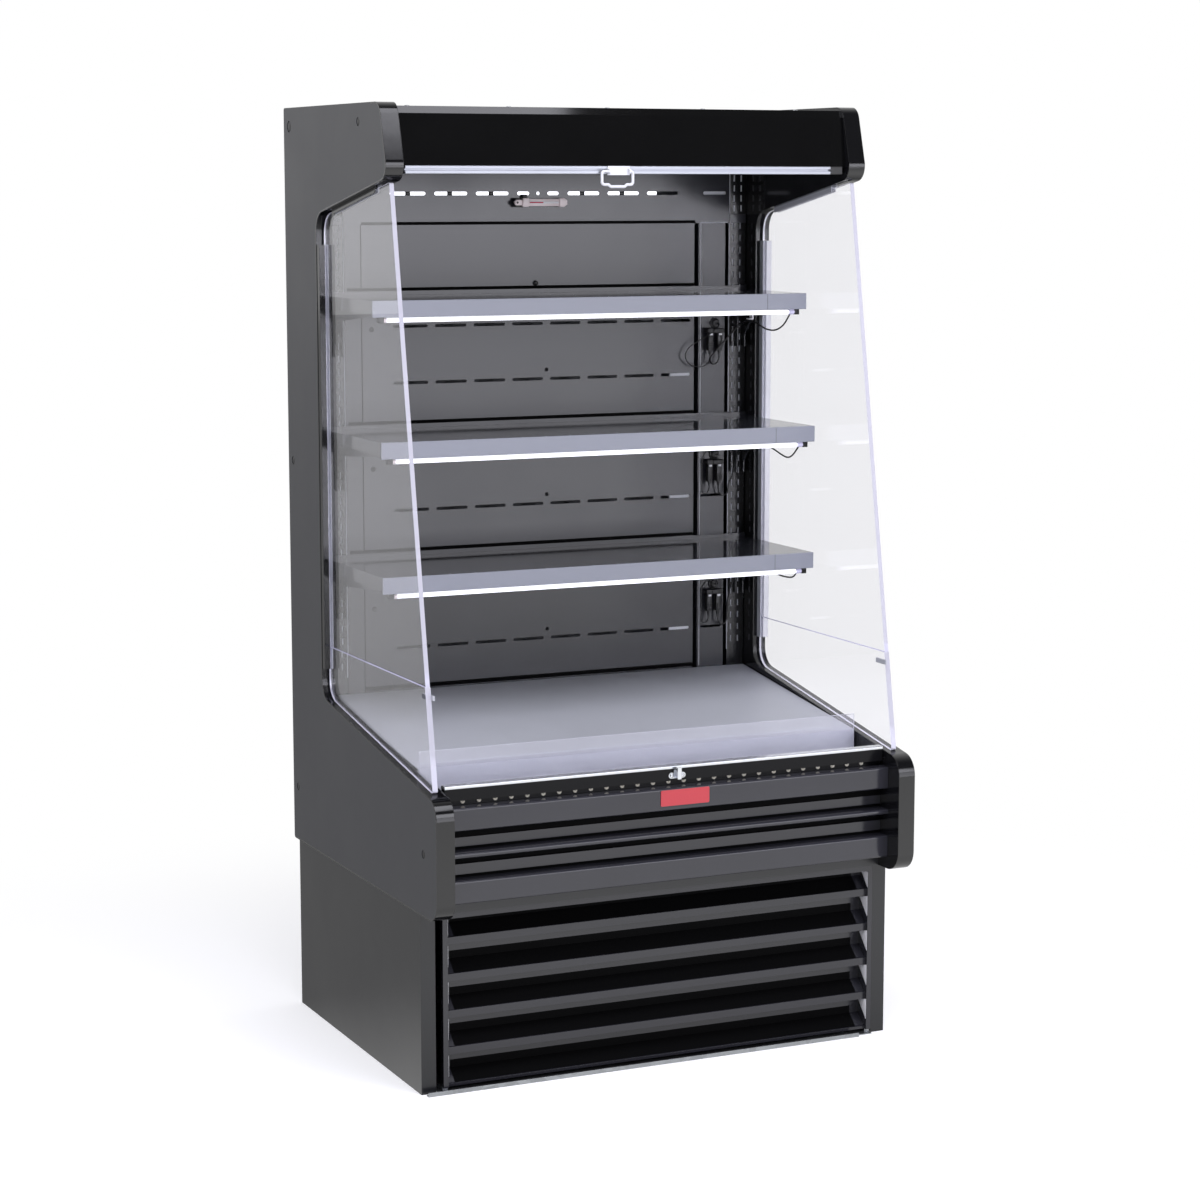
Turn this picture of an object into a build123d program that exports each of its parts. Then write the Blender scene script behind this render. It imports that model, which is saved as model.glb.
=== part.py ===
from build123d import *
import os
from math import cos, hypot, pi, radians, sin, tan

# Open display cooler in millimetres.
# X runs to the right, Y to the rear, Z up; the origin is the middle of the footprint on the floor.

# Whole cabinet
WIDTH = 990.0
DEPTH = 786.0
HEIGHT = 1808.0
END_THICK = 35.0
BASE_HEIGHT = 344.0
TOUCH_GAP = 0.3             # between a piece that moves and what it lies beside

FRONT = -DEPTH / 2
REAR = DEPTH / 2
SIDE = WIDTH / 2
INNER = SIDE - END_THICK
FIT_X = INNER - TOUCH_GAP

# End panel outline
HOOD_FRONT = 214.0          # hood nose behind the cabinet front
HOOD_FACE = 136.0           # height of the hood's sloping face
HOOD_LEAN = 38.4            # how far the hood's face leans back
ARM_ROOT_DROP = 206.3       # root of the upper arm below the top
ARM_DEPTH = 182.0           # thickness of the upright rear part
SILL_ROOT_RISE = 320.5      # root of the lower arm above the base
SILL_FRONT_RISE = 221.6     # nose of the lower arm above the base
ROOT_ROUND = 40.0
NOSE_ROUND = 30.0
TRIM = 3.0                  # edge ribbon thickness
TRIM_END = FRONT + 298.0    # front end of the gap in the top ribbon

HOOD_NOSE = (FRONT + HOOD_FRONT, HEIGHT - HOOD_FACE)
HOOD_TOP_Y = HOOD_NOSE[0] + HOOD_LEAN
ARM_ROOT = (REAR - ARM_DEPTH, HEIGHT - ARM_ROOT_DROP)
SILL_ROOT = (ARM_ROOT[0], BASE_HEIGHT + SILL_ROOT_RISE)
SILL_NOSE = (FRONT, BASE_HEIGHT + SILL_FRONT_RISE)

# Insulated shell
WALL = 83.0
ROOF = 45.0
ROOF_DROP = 7.0             # roof below the tops of the end panels
TUB_FLOOR = 40.0
TUB_FRONT = FRONT + 75.0
TUB_WALL = 28.0
TUB_WALL_TOP = BASE_HEIGHT + 212.0
HOOD_BACK = FRONT + 333.0   # front edge of the roof slab

ROOF_TOP = HEIGHT - ROOF_DROP
ROOF_LOW = ROOF_TOP - ROOF
WALL_Y = REAR - WALL
TUB_TOP = BASE_HEIGHT + TUB_FLOOR

# Deck
DECK_X = INNER - 3.0
DECK_FRONT = TUB_FRONT + 96.0
DECK_FRONT_Z = BASE_HEIGHT + 253.0
DECK_RISE = 59.5            # height that the deck gains to the rear
DECK_FLANGE = 51.0
DECK_SHEET = 1.5
LEDGE = 14.0                # width of the ledges that carry the deck
STOP_THICK = 3.0
STOP_TOP = DECK_FRONT_Z + 32.0
STOP_X = DECK_X - 2.0
DECK_BACK_Z = DECK_FRONT_Z + DECK_RISE

# Rear of the display space
DUCT = 56.0                 # depth of the air duct before the rear wall
SHEET = 1.2
BACK_Y = WALL_Y - DUCT
DECK_BACK = BACK_Y - 4.0
CEILING_Z = HEIGHT - 121.0
BACK_TOP = CEILING_Z - 106.0
BACK_BOTTOM = DECK_BACK_Z - 16.5
BACK_PANEL_X = (-INNER + 78.0, INNER - 120.0)
SIDE_PANEL_X = (INNER - 111.0, INNER - 50.0)
SIDE_STRIP_X = (-INNER + 42.0, -INNER + 76.0)
SIDE_PANEL_PROUD = 2.0
UPRIGHT_X = (INNER - 40.0, INNER - 2.0)
UPRIGHT_SHEET = 2.0
UPRIGHT_Z = (BACK_BOTTOM, BACK_TOP + 19.0)
SLOT_PITCH = 25.4
SLOT_HEIGHT = 12.8
SLOT_WIDTH = 3.0
SLOT_FIRST = BACK_BOTTOM + 72.0
SLOT_COUNT = int((UPRIGHT_Z[1] - SLOT_FIRST) / SLOT_PITCH) + 1
SLOT_COLUMNS = (UPRIGHT_X[0] + 10.0, UPRIGHT_X[0] + 26.0)
AIR_SLOT = (67.0, 6.0)
AIR_SLOT_PITCH = 83.0
AIR_SLOT_MID = 7.0
AIR_SLOT_COUNT = 8
AIR_ROWS = (BACK_BOTTOM + 102.0, BACK_BOTTOM + 378.5, BACK_TOP - 309.5, BACK_TOP - 198.0)
SIDE_SLOT = (49.0, 5.0)     # the two low slots of the right side panel
# Lit slots of the canopy: a row of long ones that is broken in the middle by two short ones and a hole
LIT_SLOT = (70.0, 7.0)
LIT_SLOT_PITCH = 88.6
LIT_SLOT_MIDDLES = [-110.0 - LIT_SLOT_PITCH * i for i in range(3)]
LIT_SLOT_MIDDLES += [89.0 + LIT_SLOT_PITCH * i for i in range(3)]
LIT_SHORT = ((-43.0, 26.0), (22.0, 24.5), (INNER - 74.5, 53.0))     # middle and length
LIT_HOLE = -11.0
LIT_ROW = CEILING_Z - 45.0

# Hood and night cover
HEADER_SHEET = 2.0
HEADER_LIP = 114.0          # lower edge of the header below the top
HEADER_Y = FRONT + 235.0
HEADER_Z = HEIGHT - HEADER_LIP
HONEYCOMB_Y = (HEADER_Y + 20.0, HEADER_Y + 77.8)
HONEYCOMB_Z = (CEILING_Z - 5.0, CEILING_Z + 5.0)
ROLLER_Y = HEADER_Y + 46.0
ROLLER_Z = HEADER_Z + 51.0
ROLLER_R = 22.0
ROLLER_BORE = 16.0
JOURNAL_R = 6.0
RUNNING = 0.05
BAR_DEPTH = 14.0
BAR_HEIGHT = 14.7
BAR_HALF = INNER - 8.0
BAR_END = 26.0              # dark fitting at the right end
BAR_TOP = HEADER_Z - TOUCH_GAP
CLIP_MID = BAR_TOP - 7.2    # height of the bar's front slot
CLIP_X = (-50.0, -4.5)
CLIP_PLATE = 2.0
CLIP_HIGH = 16.7
EAR_THICK = 3.5
EAR_REACH = 4.5
BAIL_X = (CLIP_X[0] - 13.25, CLIP_X[1] + 4.75)
BAIL_WIRE = 2.75
BAIL_DROP = 24.5
PIVOT_Y = HEADER_Y - 5.5
PIVOT_Z = BAR_TOP - 9.7
CLOTH = 0.8

# Nose and bumper
NOSE_Y = TUB_FRONT - 17.0
NOSE_X = INNER - 4.0
NOSE_Z = (TUB_WALL_TOP - 1.0, TUB_WALL_TOP + 21.6)
STRIP = (18.0, 6.1)
HOLE_PITCH = 32.0
# Lowest and highest point above the base and how far each stands before the tub
RIBS = ((158.0, 201.0, 34.0), (108.0, 118.0, 37.0), (23.0, 66.0, 35.0))
INSERTS = ((123.5, 140.5, 5.0), (72.0, 91.5, 7.0))
BUMPER_BACK = 3.0
BADGE_X = (-30.0, 71.0)
BADGE_HIGH = 30.1
BADGE_RISE = 9.5            # badge above the lower edge of its rib
CATCH_X = (-6.0, 29.0)

# Clear wings
WING_MID = INNER + 17.0
WING_THICK = 8.5
WING_FRONT_TOP = FRONT + 241.0
WING_FRONT_LOW = FRONT + 50.0
WING_BACK = ARM_ROOT[0] - 7.0
WING_JOINT = BASE_HEIGHT + 419.0
CHANNEL_WIDE = 15.0
CHANNEL_DEEP = 10.0
CHANNEL_Y = (FRONT + 308.0, ARM_ROOT[0] - 61.0)
CHANNEL_Z = (SILL_ROOT[1] + 55.5, ARM_ROOT[1] - 56.7)

# Shelves: the top one hangs from the canopy, the low one stands off the deck, one is between them
SHELF_TOPS = [CEILING_Z - 242.0, 0.0, DECK_BACK_Z + 272.1]
SHELF_TOPS[1] = (SHELF_TOPS[0] + SHELF_TOPS[2]) / 2 - 3.8
SHELF_DEEP = (264.0, 304.0, 304.0)
SOCKET_DROPS = (69.0, 79.0, 96.6)   # socket that feeds the lamp, below the shelf's top
SHELVES = [(top, BACK_Y - deep, top - drop) for top, deep, drop in zip(SHELF_TOPS, SHELF_DEEP, SOCKET_DROPS)]
SHELF_HALF = INNER - 2.5
SHELF_BACK = BACK_Y - 8.0
SHELF_SHEET = 1.5
SHELF_LIP = 8.0
SHELF_END = 25.0            # height of the end flanges
RAIL_HEIGHT = 31.5
RAIL_THICK = 2.5
BRACKET = 2.0
BRACKET_BACK = BACK_Y - 7.0
BRACKET_DEEP = 116.0
BRACKET_LEG = 16.0          # width of the leg at the wall
BRACKET_NOSE = 28.0
BRACKET_FLANGE = 12.0
LAMP_X = (-INNER + 31.0, INNER - 39.0)
LAMP_R = 4.5
LAMP_DROP = 37.0
LAMP_SET = 8.5
HOLDER_LONG = 16.0

# Lamp leads and socket sets
LEAD_R = 1.6
HARNESS_R = 1.2
LEAD_X = INNER - 22.0
LEAD_Y = BACK_Y - 14.0
GROMMET_X = INNER - 74.0
PLUG_LEFT = GROMMET_X - 16.0
PLUG_RIGHT = GROMMET_X + 5.0
SOCKET_X = (GROMMET_X - 24.0, GROMMET_X + 14.0)
SOCKET_DROP = (10.0, 20.0)
PLUG_DROP = 64.0

# Evaporator space
BAFFLE_Y = DECK_FRONT + 72.0
COIL_X = INNER - 40.0
COIL_Y = (BAFFLE_Y + 110.0, BAFFLE_Y + 300.0)
COIL_TOP = DECK_FRONT_Z - 7.0
COIL_ROWS = (TUB_TOP + 46.0, TUB_TOP + 96.0, TUB_TOP + 146.0)
FIN_PITCH = 21.0
FAN_X = INNER - 250.0
FAN_R = 75.0
FAN_Z = TUB_TOP + 108.0
FAN_HOLE_GAP = 3.0
SHAFT_R = 3.0
TUBE_HOLE = (INNER - 160.0, BACK_Y + 11.0, 24.0)

# Machine compartment
BASE_INSET = 5.0            # base side panels inside the end panels' outer faces
BASE_EDGE = SIDE - BASE_INSET
BASE_FRONT = FRONT + 98.0
BASE_BACK = REAR - 16.0
POST_WIDE = 29.0
POST_DEEP = 30.0
BASE_SHEET = 2.0
BASE_FLANGE = 50.0
PAN_LIP = 8.0
PAN_FRONT = BASE_FRONT - 18.0
PAN_TONGUE_X = (-BASE_EDGE + 7.0, BASE_EDGE - 65.0)
LOUVRE_X = (-BASE_EDGE + 42.0, BASE_EDGE - POST_WIDE - 3.0)
LOUVRE_Y = (BASE_FRONT - 5.0, BASE_FRONT + 33.0)
LOUVRE_Z = (8.5, BASE_HEIGHT - 2.5)
LOUVRE_STILE = 10.0
LOUVRE_LIP = 14.0
LOUVRE_TOPS = 13.8
LOUVRE_PITCH = 69.4
LOUVRE_COUNT = 5
CONDENSER_LONG = 440.0
CONDENSER_X = (-BASE_EDGE + 110.0, -BASE_EDGE + 110.0 + CONDENSER_LONG)
CONDENSER_Y = (LOUVRE_Y[1] + 27.0, LOUVRE_Y[1] + 72.0)
CONDENSER_Z = (14.0, BASE_HEIGHT - 44.0)
CONDENSER_FAN_R = 100.0
COMPRESSOR = (BASE_EDGE - 235.0, BASE_BACK - 227.0)
COMPRESSOR_R = 75.0
COMPRESSOR_Z = (24.0, 224.0)
TUBE_LEVEL = BASE_HEIGHT - 82.0     # horizontal runs of the tubes over the compressor


def block(x, y, z):
    """Box between three (low, high) ranges."""
    size = [high - low for low, high in (x, y, z)]
    middle = [(high + low) / 2 for low, high in (x, y, z)]
    return Pos(*middle) * Box(*size)


def outline(corners):
    """Closed face through (a, b, round) corners; a round of 0 leaves the corner sharp."""
    edges, joints = [], []
    for index, (a, b, round_r) in enumerate(corners):
        here = Vector(a, b)
        back = (Vector(*corners[index - 1][:2]) - here).normalized()
        ahead = (Vector(*corners[(index + 1) % len(corners)][:2]) - here).normalized()
        half = radians(back.get_angle(ahead)) / 2
        reach = round_r / tan(half)
        start, end = here + back * reach, here + ahead * reach
        if round_r:
            middle = here + (back + ahead).normalized() * (round_r / sin(half) - round_r)
            edges.append(ThreePointArc(start, middle, end))
        joints.append((start, end))
    for index, (start, end) in enumerate(joints):
        edges.append(Line(end, joints[(index + 1) % len(joints)][0]))
    return make_face(edges)


def polygon(points):
    """Closed face through sharp corners."""
    return make_face(Polyline(*points, close=True))


def folded(points, thickness):
    """Section of a folded sheet: the points run along one side and the sheet lies to their left."""
    line = [Vector(*point) for point in points]
    runs = [(after - before).normalized() for before, after in zip(line, line[1:])]
    sides = [Vector(-run.Y, run.X) for run in runs]
    far = [line[0] + sides[0] * thickness]
    for corner, before, after in zip(line[1:-1], sides, sides[1:]):
        far.append(corner + (before + after) * (thickness / (1 + before.dot(after))))
    far.append(line[-1] + sides[-1] * thickness)
    return polygon(line + far[::-1])


def along_x(section, x):
    """Push a (y, z) section from x[0] to x[1]."""
    return extrude(Plane.YZ.offset(x[0]) * section, amount=x[1] - x[0], dir=(1, 0, 0))


def along_y(section, y):
    """Push an (x, z) section from y[0] to y[1]."""
    return extrude(Plane.XZ.offset(-y[0]) * section, amount=y[1] - y[0], dir=(0, 1, 0))


def along_z(section, z):
    """Push an (x, y) section from z[0] to z[1]."""
    return extrude(Plane.XY.offset(z[0]) * section, amount=z[1] - z[0], dir=(0, 0, 1))


def rod(start, end, radius):
    """Round bar between two points."""
    start, end = Vector(*start), Vector(*end)
    return extrude(Plane(start, z_dir=end - start) * Circle(radius), amount=(end - start).length)


def both_sides(solid):
    """The solid and its mirror image on the left."""
    return [solid, mirror(solid, Plane.YZ)]


def corner_radii(points, share=0.45):
    """Arc radius at each inner point of a route: a share of the shorter run over tan(half turn)."""
    spots = [Vector(*point) for point in points]
    radii = []
    for before, here, after in zip(spots, spots[1:], spots[2:]):
        turn = radians((here - before).get_angle(after - here))
        radii.append(share * min((here - before).length, (after - here).length) / tan(turn / 2))
    return radii


def cord(name, points, radius):
    """Round cord along straight runs joined by tangent arcs; prints what the route measures."""
    radii = corner_radii(points)
    path = FilletPolyline(*points, radius=radii)
    solid = sweep(Plane(path @ 0, z_dir=path % 0) * Circle(radius), path=path)
    share = solid.volume / (pi * radius ** 2 * path.length)
    print(name, "length", round(path.length, 1), "volume share", round(share, 4),
          "radii", [round(value, 1) for value in radii])
    return solid


def bent_tube(points, radius, bend):
    """Rigid tube or wire with one bend radius."""
    path = FilletPolyline(*points, radius=bend)
    return sweep(Plane(path @ 0, z_dir=path % 0) * Circle(radius), path=path)


def slots(size, pitch, count, middle, heights):
    """Rows of horizontal slots as an (x, z) section."""
    return Sketch() + [
        Pos(middle + (column - (count - 1) / 2) * pitch, height) * SlotOverall(*size)
        for height in heights for column in range(count)
    ]


# End panels, their edge ribbons and caps

def end_outline():
    """Outer (y, z) outline of an end panel."""
    return outline([
        (REAR, BASE_HEIGHT, 6), (REAR, HEIGHT, 6), (HOOD_TOP_Y, HEIGHT, 28),
        (*HOOD_NOSE, NOSE_ROUND), (*ARM_ROOT, ROOT_ROUND), (*SILL_ROOT, ROOT_ROUND),
        (*SILL_NOSE, NOSE_ROUND + 10), (FRONT, BASE_HEIGHT, NOSE_ROUND + 10),
    ])


def end_ribbon():
    """The part of the end outline that the ribbon covers: all but the rear and most of the top."""
    ring = end_outline() - offset(end_outline(), -TRIM)
    low, high = HEIGHT - 20, HEIGHT + 5
    over = polygon([(TRIM_END, low), (REAR, low), (REAR, high), (TRIM_END, high)])
    rear = REAR - TRIM - 0.1
    behind = polygon([(rear, 0), (REAR + 10, 0), (REAR + 10, HEIGHT + 10), (rear, HEIGHT + 10)])
    return ring - over - behind


CAP_SPOTS = ((REAR - 31.4, HEIGHT - 36.5, 11.0), (HOOD_BACK + 30.5, HEIGHT - 34.2, 8.0),
             (REAR - 27.0, (HEIGHT + BASE_HEIGHT) / 2 + 40.0, 8.0), (REAR - 28.0, BASE_HEIGHT + 110.0, 8.0),
             (FRONT + 66.0, BASE_HEIGHT + 117.0, 8.0))
CAP_DEEP = 1.2


def end_caps():
    """Screw caps let into the outer faces, flush with them."""
    return [rod((SIDE - CAP_DEEP, y, z), (SIDE, y, z), r) for y, z, r in CAP_SPOTS]


def end_panel():
    """Right end panel with pockets for the caps."""
    panel = along_x(end_outline() - end_ribbon(), (INNER, SIDE))
    return panel - end_caps()


def edge_trims():
    """Ribbons of both ends, with the two inner corners of each as moulded pieces of their own."""
    ribbon = along_x(end_ribbon(), (INNER, SIDE))
    corner = 62.0
    reach = (ARM_ROOT[0] - corner, ARM_ROOT[0] + 5)
    boxes = [block((INNER - 1, SIDE + 1), reach, (ARM_ROOT[1] - corner, ARM_ROOT[1] + 20)),
             block((INNER - 1, SIDE + 1), reach, (SILL_ROOT[1] - 20, SILL_ROOT[1] + corner))]
    pieces = list((ribbon - boxes).solids())
    for box in boxes:
        pieces += (ribbon & box).solids()
    return [side for piece in pieces for side in both_sides(piece)]


# Shell

def header_panel():
    """Folded front of the hood."""
    section = folded([(HOOD_BACK, ROOF_TOP), (HEADER_Y + 26, ROOF_TOP), (HEADER_Y + 18, ROOF_TOP - 13),
                      (HEADER_Y, HEADER_Z), (HEADER_Y + 8, HEADER_Z)], HEADER_SHEET)
    return along_x(section, (-FIT_X, FIT_X))


def roof_panel():
    """Insulated roof between the end panels."""
    return block((-INNER, INNER), (HOOD_BACK, REAR), (ROOF_LOW, ROOF_TOP))


def rear_wall():
    """Insulated rear wall between tub floor level and roof."""
    return block((-INNER, INNER), (WALL_Y, REAR), (BASE_HEIGHT, ROOF_LOW))


def insulated_tub():
    """Insulated floor with its front wall, and a hole for the refrigerant tubes."""
    section = polygon([(TUB_FRONT, BASE_HEIGHT), (WALL_Y, BASE_HEIGHT), (WALL_Y, TUB_TOP),
                       (TUB_FRONT + TUB_WALL, TUB_TOP), (TUB_FRONT + TUB_WALL, TUB_WALL_TOP),
                       (TUB_FRONT, TUB_WALL_TOP)])
    x, y, radius = TUBE_HOLE
    return along_x(section, (-INNER, INNER)) - rod((x, y, BASE_HEIGHT - 1), (x, y, TUB_TOP + 1), radius)


def ceiling_panel():
    """Canopy liner: the lit slot band at the rear, the ceiling and a front flange for the air grille."""
    front = HONEYCOMB_Y[1]
    section = folded([(front, CEILING_Z - 6), (front, CEILING_Z), (BACK_Y, CEILING_Z),
                      (BACK_Y, BACK_TOP)], -SHEET)
    liner = along_x(section, (-UPRIGHT_X[1], UPRIGHT_X[1]))
    lit = Sketch() + Pos(LIT_HOLE, LIT_ROW) * Circle(LIT_SLOT[1] / 2)
    for middle, length in [(middle, LIT_SLOT[0]) for middle in LIT_SLOT_MIDDLES] + list(LIT_SHORT):
        lit += Pos(middle, LIT_ROW) * SlotOverall(length, LIT_SLOT[1])
    return liner - along_y(lit, (BACK_Y - 3, BACK_Y + 3))


def channel_panel(x, front, z):
    """Upright sheet panel with flanges back to the rear wall."""
    section = folded([(x[0], WALL_Y), (x[0], front), (x[1], front), (x[1], WALL_Y)], SHEET)
    return along_z(section, z)


def back_panel():
    """Slotted centre panel of the rear air duct."""
    panel = channel_panel(BACK_PANEL_X, BACK_Y, (BACK_BOTTOM, BACK_TOP))
    rows = slots(AIR_SLOT, AIR_SLOT_PITCH, AIR_SLOT_COUNT, AIR_SLOT_MID, AIR_ROWS)
    rounds = Sketch() + [Pos(AIR_SLOT_MID, z + 18) * Circle(4) for z in AIR_ROWS]
    return panel - along_y(rows + rounds, (BACK_Y - 1, BACK_Y + SHEET + 1))


def back_side_panels():
    """Narrow panels beside the centre panel; the right one carries the lamp sockets."""
    front = BACK_Y - SIDE_PANEL_PROUD
    right = channel_panel(SIDE_PANEL_X, front, (BACK_BOTTOM, BACK_TOP))
    middle = sum(SIDE_PANEL_X) / 2
    low_slots = Sketch() + [Pos(middle, z) * SlotOverall(*SIDE_SLOT) for z in AIR_ROWS[:2]]
    right -= along_y(low_slots, (front - 1, front + SHEET + 1))
    return [right, channel_panel(SIDE_STRIP_X, BACK_Y, (BACK_BOTTOM, BACK_TOP))]


def shelf_uprights():
    """Slotted channels that the shelf brackets hook into."""
    section = folded([(UPRIGHT_X[0], WALL_Y), (UPRIGHT_X[0], BACK_Y), (UPRIGHT_X[1], BACK_Y),
                      (UPRIGHT_X[1], WALL_Y)], UPRIGHT_SHEET)
    holes = Sketch() + [
        Pos(x, SLOT_FIRST + row * SLOT_PITCH) * Rectangle(SLOT_WIDTH, SLOT_HEIGHT)
        for row in range(SLOT_COUNT) for x in SLOT_COLUMNS
    ]
    right = along_z(section, UPRIGHT_Z) - along_y(holes, (BACK_Y - 1, BACK_Y + UPRIGHT_SHEET + 1))
    return both_sides(right)


def honeycomb_grille():
    """Air straightener under the hood: a frame with rows of square cells."""
    cell, pitch, rows = 11.0, 13.0, 4
    columns = int((2 * FIT_X - 8) / pitch)
    middle = (HONEYCOMB_Y[0] + HONEYCOMB_Y[1]) / 2
    face = Pos(0, middle) * Rectangle(2 * FIT_X, HONEYCOMB_Y[1] - HONEYCOMB_Y[0])
    grid = GridLocations(pitch, pitch, columns, rows)
    face -= [Pos(0, middle) * spot * Rectangle(cell, cell) for spot in grid]
    return along_z(face, HONEYCOMB_Z)


# Night cover

def night_cover_housing():
    """Bent sheet behind the roller with a bearing plate at each end."""
    back, front, low = ROLLER_Y + 28, ROLLER_Y - 18, ROLLER_Z - 30
    top = ROOF_TOP - HEADER_SHEET
    sheet = along_x(folded([(front, top), (back, top), (back, low)], -SHEET), (-FIT_X, FIT_X))
    plate = block((FIT_X - 2.5, FIT_X), (front, back), (low, top))
    plate -= rod((FIT_X - 5, ROLLER_Y, ROLLER_Z), (FIT_X + 1, ROLLER_Y, ROLLER_Z), JOURNAL_R + RUNNING)
    return sheet + both_sides(plate)


def night_cover_roller():
    """Spring roller with the stowed cover wound on it, and its journals."""
    half = BAR_HALF - 2
    barrel = rod((-half, ROLLER_Y, ROLLER_Z), (half, ROLLER_Y, ROLLER_Z), ROLLER_R)
    barrel -= rod((-half - 1, ROLLER_Y, ROLLER_Z), (half + 1, ROLLER_Y, ROLLER_Z), ROLLER_BORE)
    plug = rod((half - 12, ROLLER_Y, ROLLER_Z), (half, ROLLER_Y, ROLLER_Z), ROLLER_BORE)
    journal = rod((half, ROLLER_Y, ROLLER_Z), (FIT_X - 0.5, ROLLER_Y, ROLLER_Z), JOURNAL_R)
    return barrel + both_sides(plug) + both_sides(journal)


def night_cover_cloth():
    """Free part of the cover, from the roller's front to the bar."""
    top_y = ROLLER_Y - ROLLER_R - TOUCH_GAP
    low_y = HEADER_Y + BAR_DEPTH - 3
    section = polygon([(top_y, ROLLER_Z), (top_y - CLOTH, ROLLER_Z), (low_y - CLOTH, BAR_TOP),
                       (low_y, BAR_TOP)])
    return along_x(section, (-BAR_HALF + 12, BAR_HALF - BAR_END - 2))


def bar_profile():
    """Rounded outline of the pull bar."""
    front, back, low = HEADER_Y, HEADER_Y + BAR_DEPTH, BAR_TOP - BAR_HEIGHT
    return outline([(front, low, 1.5), (back, low, 3), (back, BAR_TOP, 1.5), (front, BAR_TOP, 1)])


def bar_section():
    """Pull bar profile with a T slot in its front for the handle clip."""
    mouth = Pos(HEADER_Y + 1, CLIP_MID) * Rectangle(4, 4)
    cavity = Pos(HEADER_Y + 4, CLIP_MID) * Rectangle(3, 8)
    return bar_profile() - mouth - cavity


def pull_bar():
    """Extruded bar and the dark fitting at its right end."""
    return [along_x(bar_section(), (-BAR_HALF, BAR_HALF - BAR_END)),
            along_x(bar_profile(), (BAR_HALF - BAR_END, BAR_HALF))]


def handle_clip():
    """Plate that rides in the bar's front slot, with two ears for the bail."""
    face = HEADER_Y - TOUCH_GAP
    inner_x = (CLIP_X[0] + 5, CLIP_X[1] - 5)
    clip = block(CLIP_X, (face - CLIP_PLATE, face), (BAR_TOP - CLIP_HIGH, BAR_TOP))
    clip += block(inner_x, (face, HEADER_Y + 2.9), (CLIP_MID - 1.5, CLIP_MID + 1.5))
    clip += block(inner_x, (HEADER_Y + 2.8, HEADER_Y + 5.2), (CLIP_MID - 3.5, CLIP_MID + 3.5))
    low, high = PIVOT_Z - EAR_REACH, PIVOT_Z + EAR_REACH
    ear = outline([(face - 1, low, 0), (PIVOT_Y - 4, low, 3.5), (PIVOT_Y - 4, high, 3.5),
                   (face - 1, high, 0)])
    for x in (CLIP_X[0], CLIP_X[1] - EAR_THICK):
        clip += along_x(ear, (x, x + EAR_THICK))
    bore = rod((CLIP_X[0] - 1, PIVOT_Y, PIVOT_Z), (CLIP_X[1] + 1, PIVOT_Y, PIVOT_Z), BAIL_WIRE + RUNNING)
    return clip - bore


def pull_handle():
    """Wire bail with a dropped middle, pinned in the clip's ears."""
    left, right = BAIL_X
    low = PIVOT_Z - BAIL_DROP
    dropped = low - 3.75
    route = [(CLIP_X[0] + 3.2, PIVOT_Z), (left, PIVOT_Z), (left, low), (left + 13.25, low),
             (left + 17.75, dropped), (right - 16.75, dropped), (right - 12.25, low), (right, low),
             (right, PIVOT_Z), (CLIP_X[1] - 3.2, PIVOT_Z)]
    return bent_tube([(x, PIVOT_Y, z) for x, z in route], BAIL_WIRE, [5, 5, 4, 4, 4, 4, 5, 5])


# Deck, nose and bumper

def deck_pan():
    """One sheet: the sloping deck, its front flange and the small gutter that holds the front stop."""
    low = DECK_FRONT_Z - DECK_FLANGE
    section = folded([(DECK_BACK, DECK_BACK_Z), (DECK_FRONT, DECK_FRONT_Z), (DECK_FRONT, low),
                      (DECK_FRONT - 7, low), (DECK_FRONT - 7, low + 14)], DECK_SHEET)
    return along_x(section, (-DECK_X, DECK_X))


def front_stop():
    """Clear upright stop standing in the deck's gutter."""
    back = DECK_FRONT - 1
    low = DECK_FRONT_Z - DECK_FLANGE
    section = outline([(back - STOP_THICK, low, 0), (back, low, 0), (back, STOP_TOP, 1),
                       (back - STOP_THICK, STOP_TOP, 1)])
    return along_x(section, (-STOP_X, STOP_X))


def deck_ledges():
    """Sloping ledges on the end panels that carry the deck."""
    slope = (DECK_BACK_Z - DECK_FRONT_Z) / (DECK_BACK - DECK_FRONT)
    below = DECK_SHEET * hypot(1, slope) + TOUCH_GAP
    reach = (DECK_FRONT + 22, DECK_BACK - 10)
    ends = [(y, DECK_FRONT_Z + slope * (y - DECK_FRONT) - below) for y in reach]
    section = polygon([*ends, (ends[1][0], ends[1][1] - 12), (ends[0][0], ends[0][1] - 12)])
    return both_sides(along_x(section, (INNER - LEDGE, INNER)))


def deck_nose():
    """Folded nose in front of the return air well, with a row of holes in its foot."""
    rear, foot = TUB_FRONT - 0.5, TUB_FRONT - 4.5
    section = folded([(rear, NOSE_Z[0] + 3), (rear, NOSE_Z[1]), (NOSE_Y, NOSE_Z[1]), (NOSE_Y, NOSE_Z[0]),
                      (foot, NOSE_Z[0]), (foot, NOSE_Z[0] - 9.8), (TUB_FRONT, NOSE_Z[0] - 9.8)], SHEET)
    nose = along_x(section, (-NOSE_X, NOSE_X))
    count = int(2 * (NOSE_X - 10) / HOLE_PITCH)
    first = -(count - 1) / 2 * HOLE_PITCH
    holes = Sketch() + [Pos(first + i * HOLE_PITCH, NOSE_Z[0] - 4.2) * Circle(2.2) for i in range(count)]
    return nose - along_y(holes, (foot - 2, foot + 3))


def nose_strip():
    """Bright bar along the top of the nose."""
    rear = TUB_FRONT
    front, low, top = rear - STRIP[0], NOSE_Z[1], NOSE_Z[1] + STRIP[1]
    section = outline([(front, low, 0.8), (rear, low, 0), (rear, top, 1.5), (front, top, 2)])
    return along_x(section, (-NOSE_X, NOSE_X))


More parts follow.
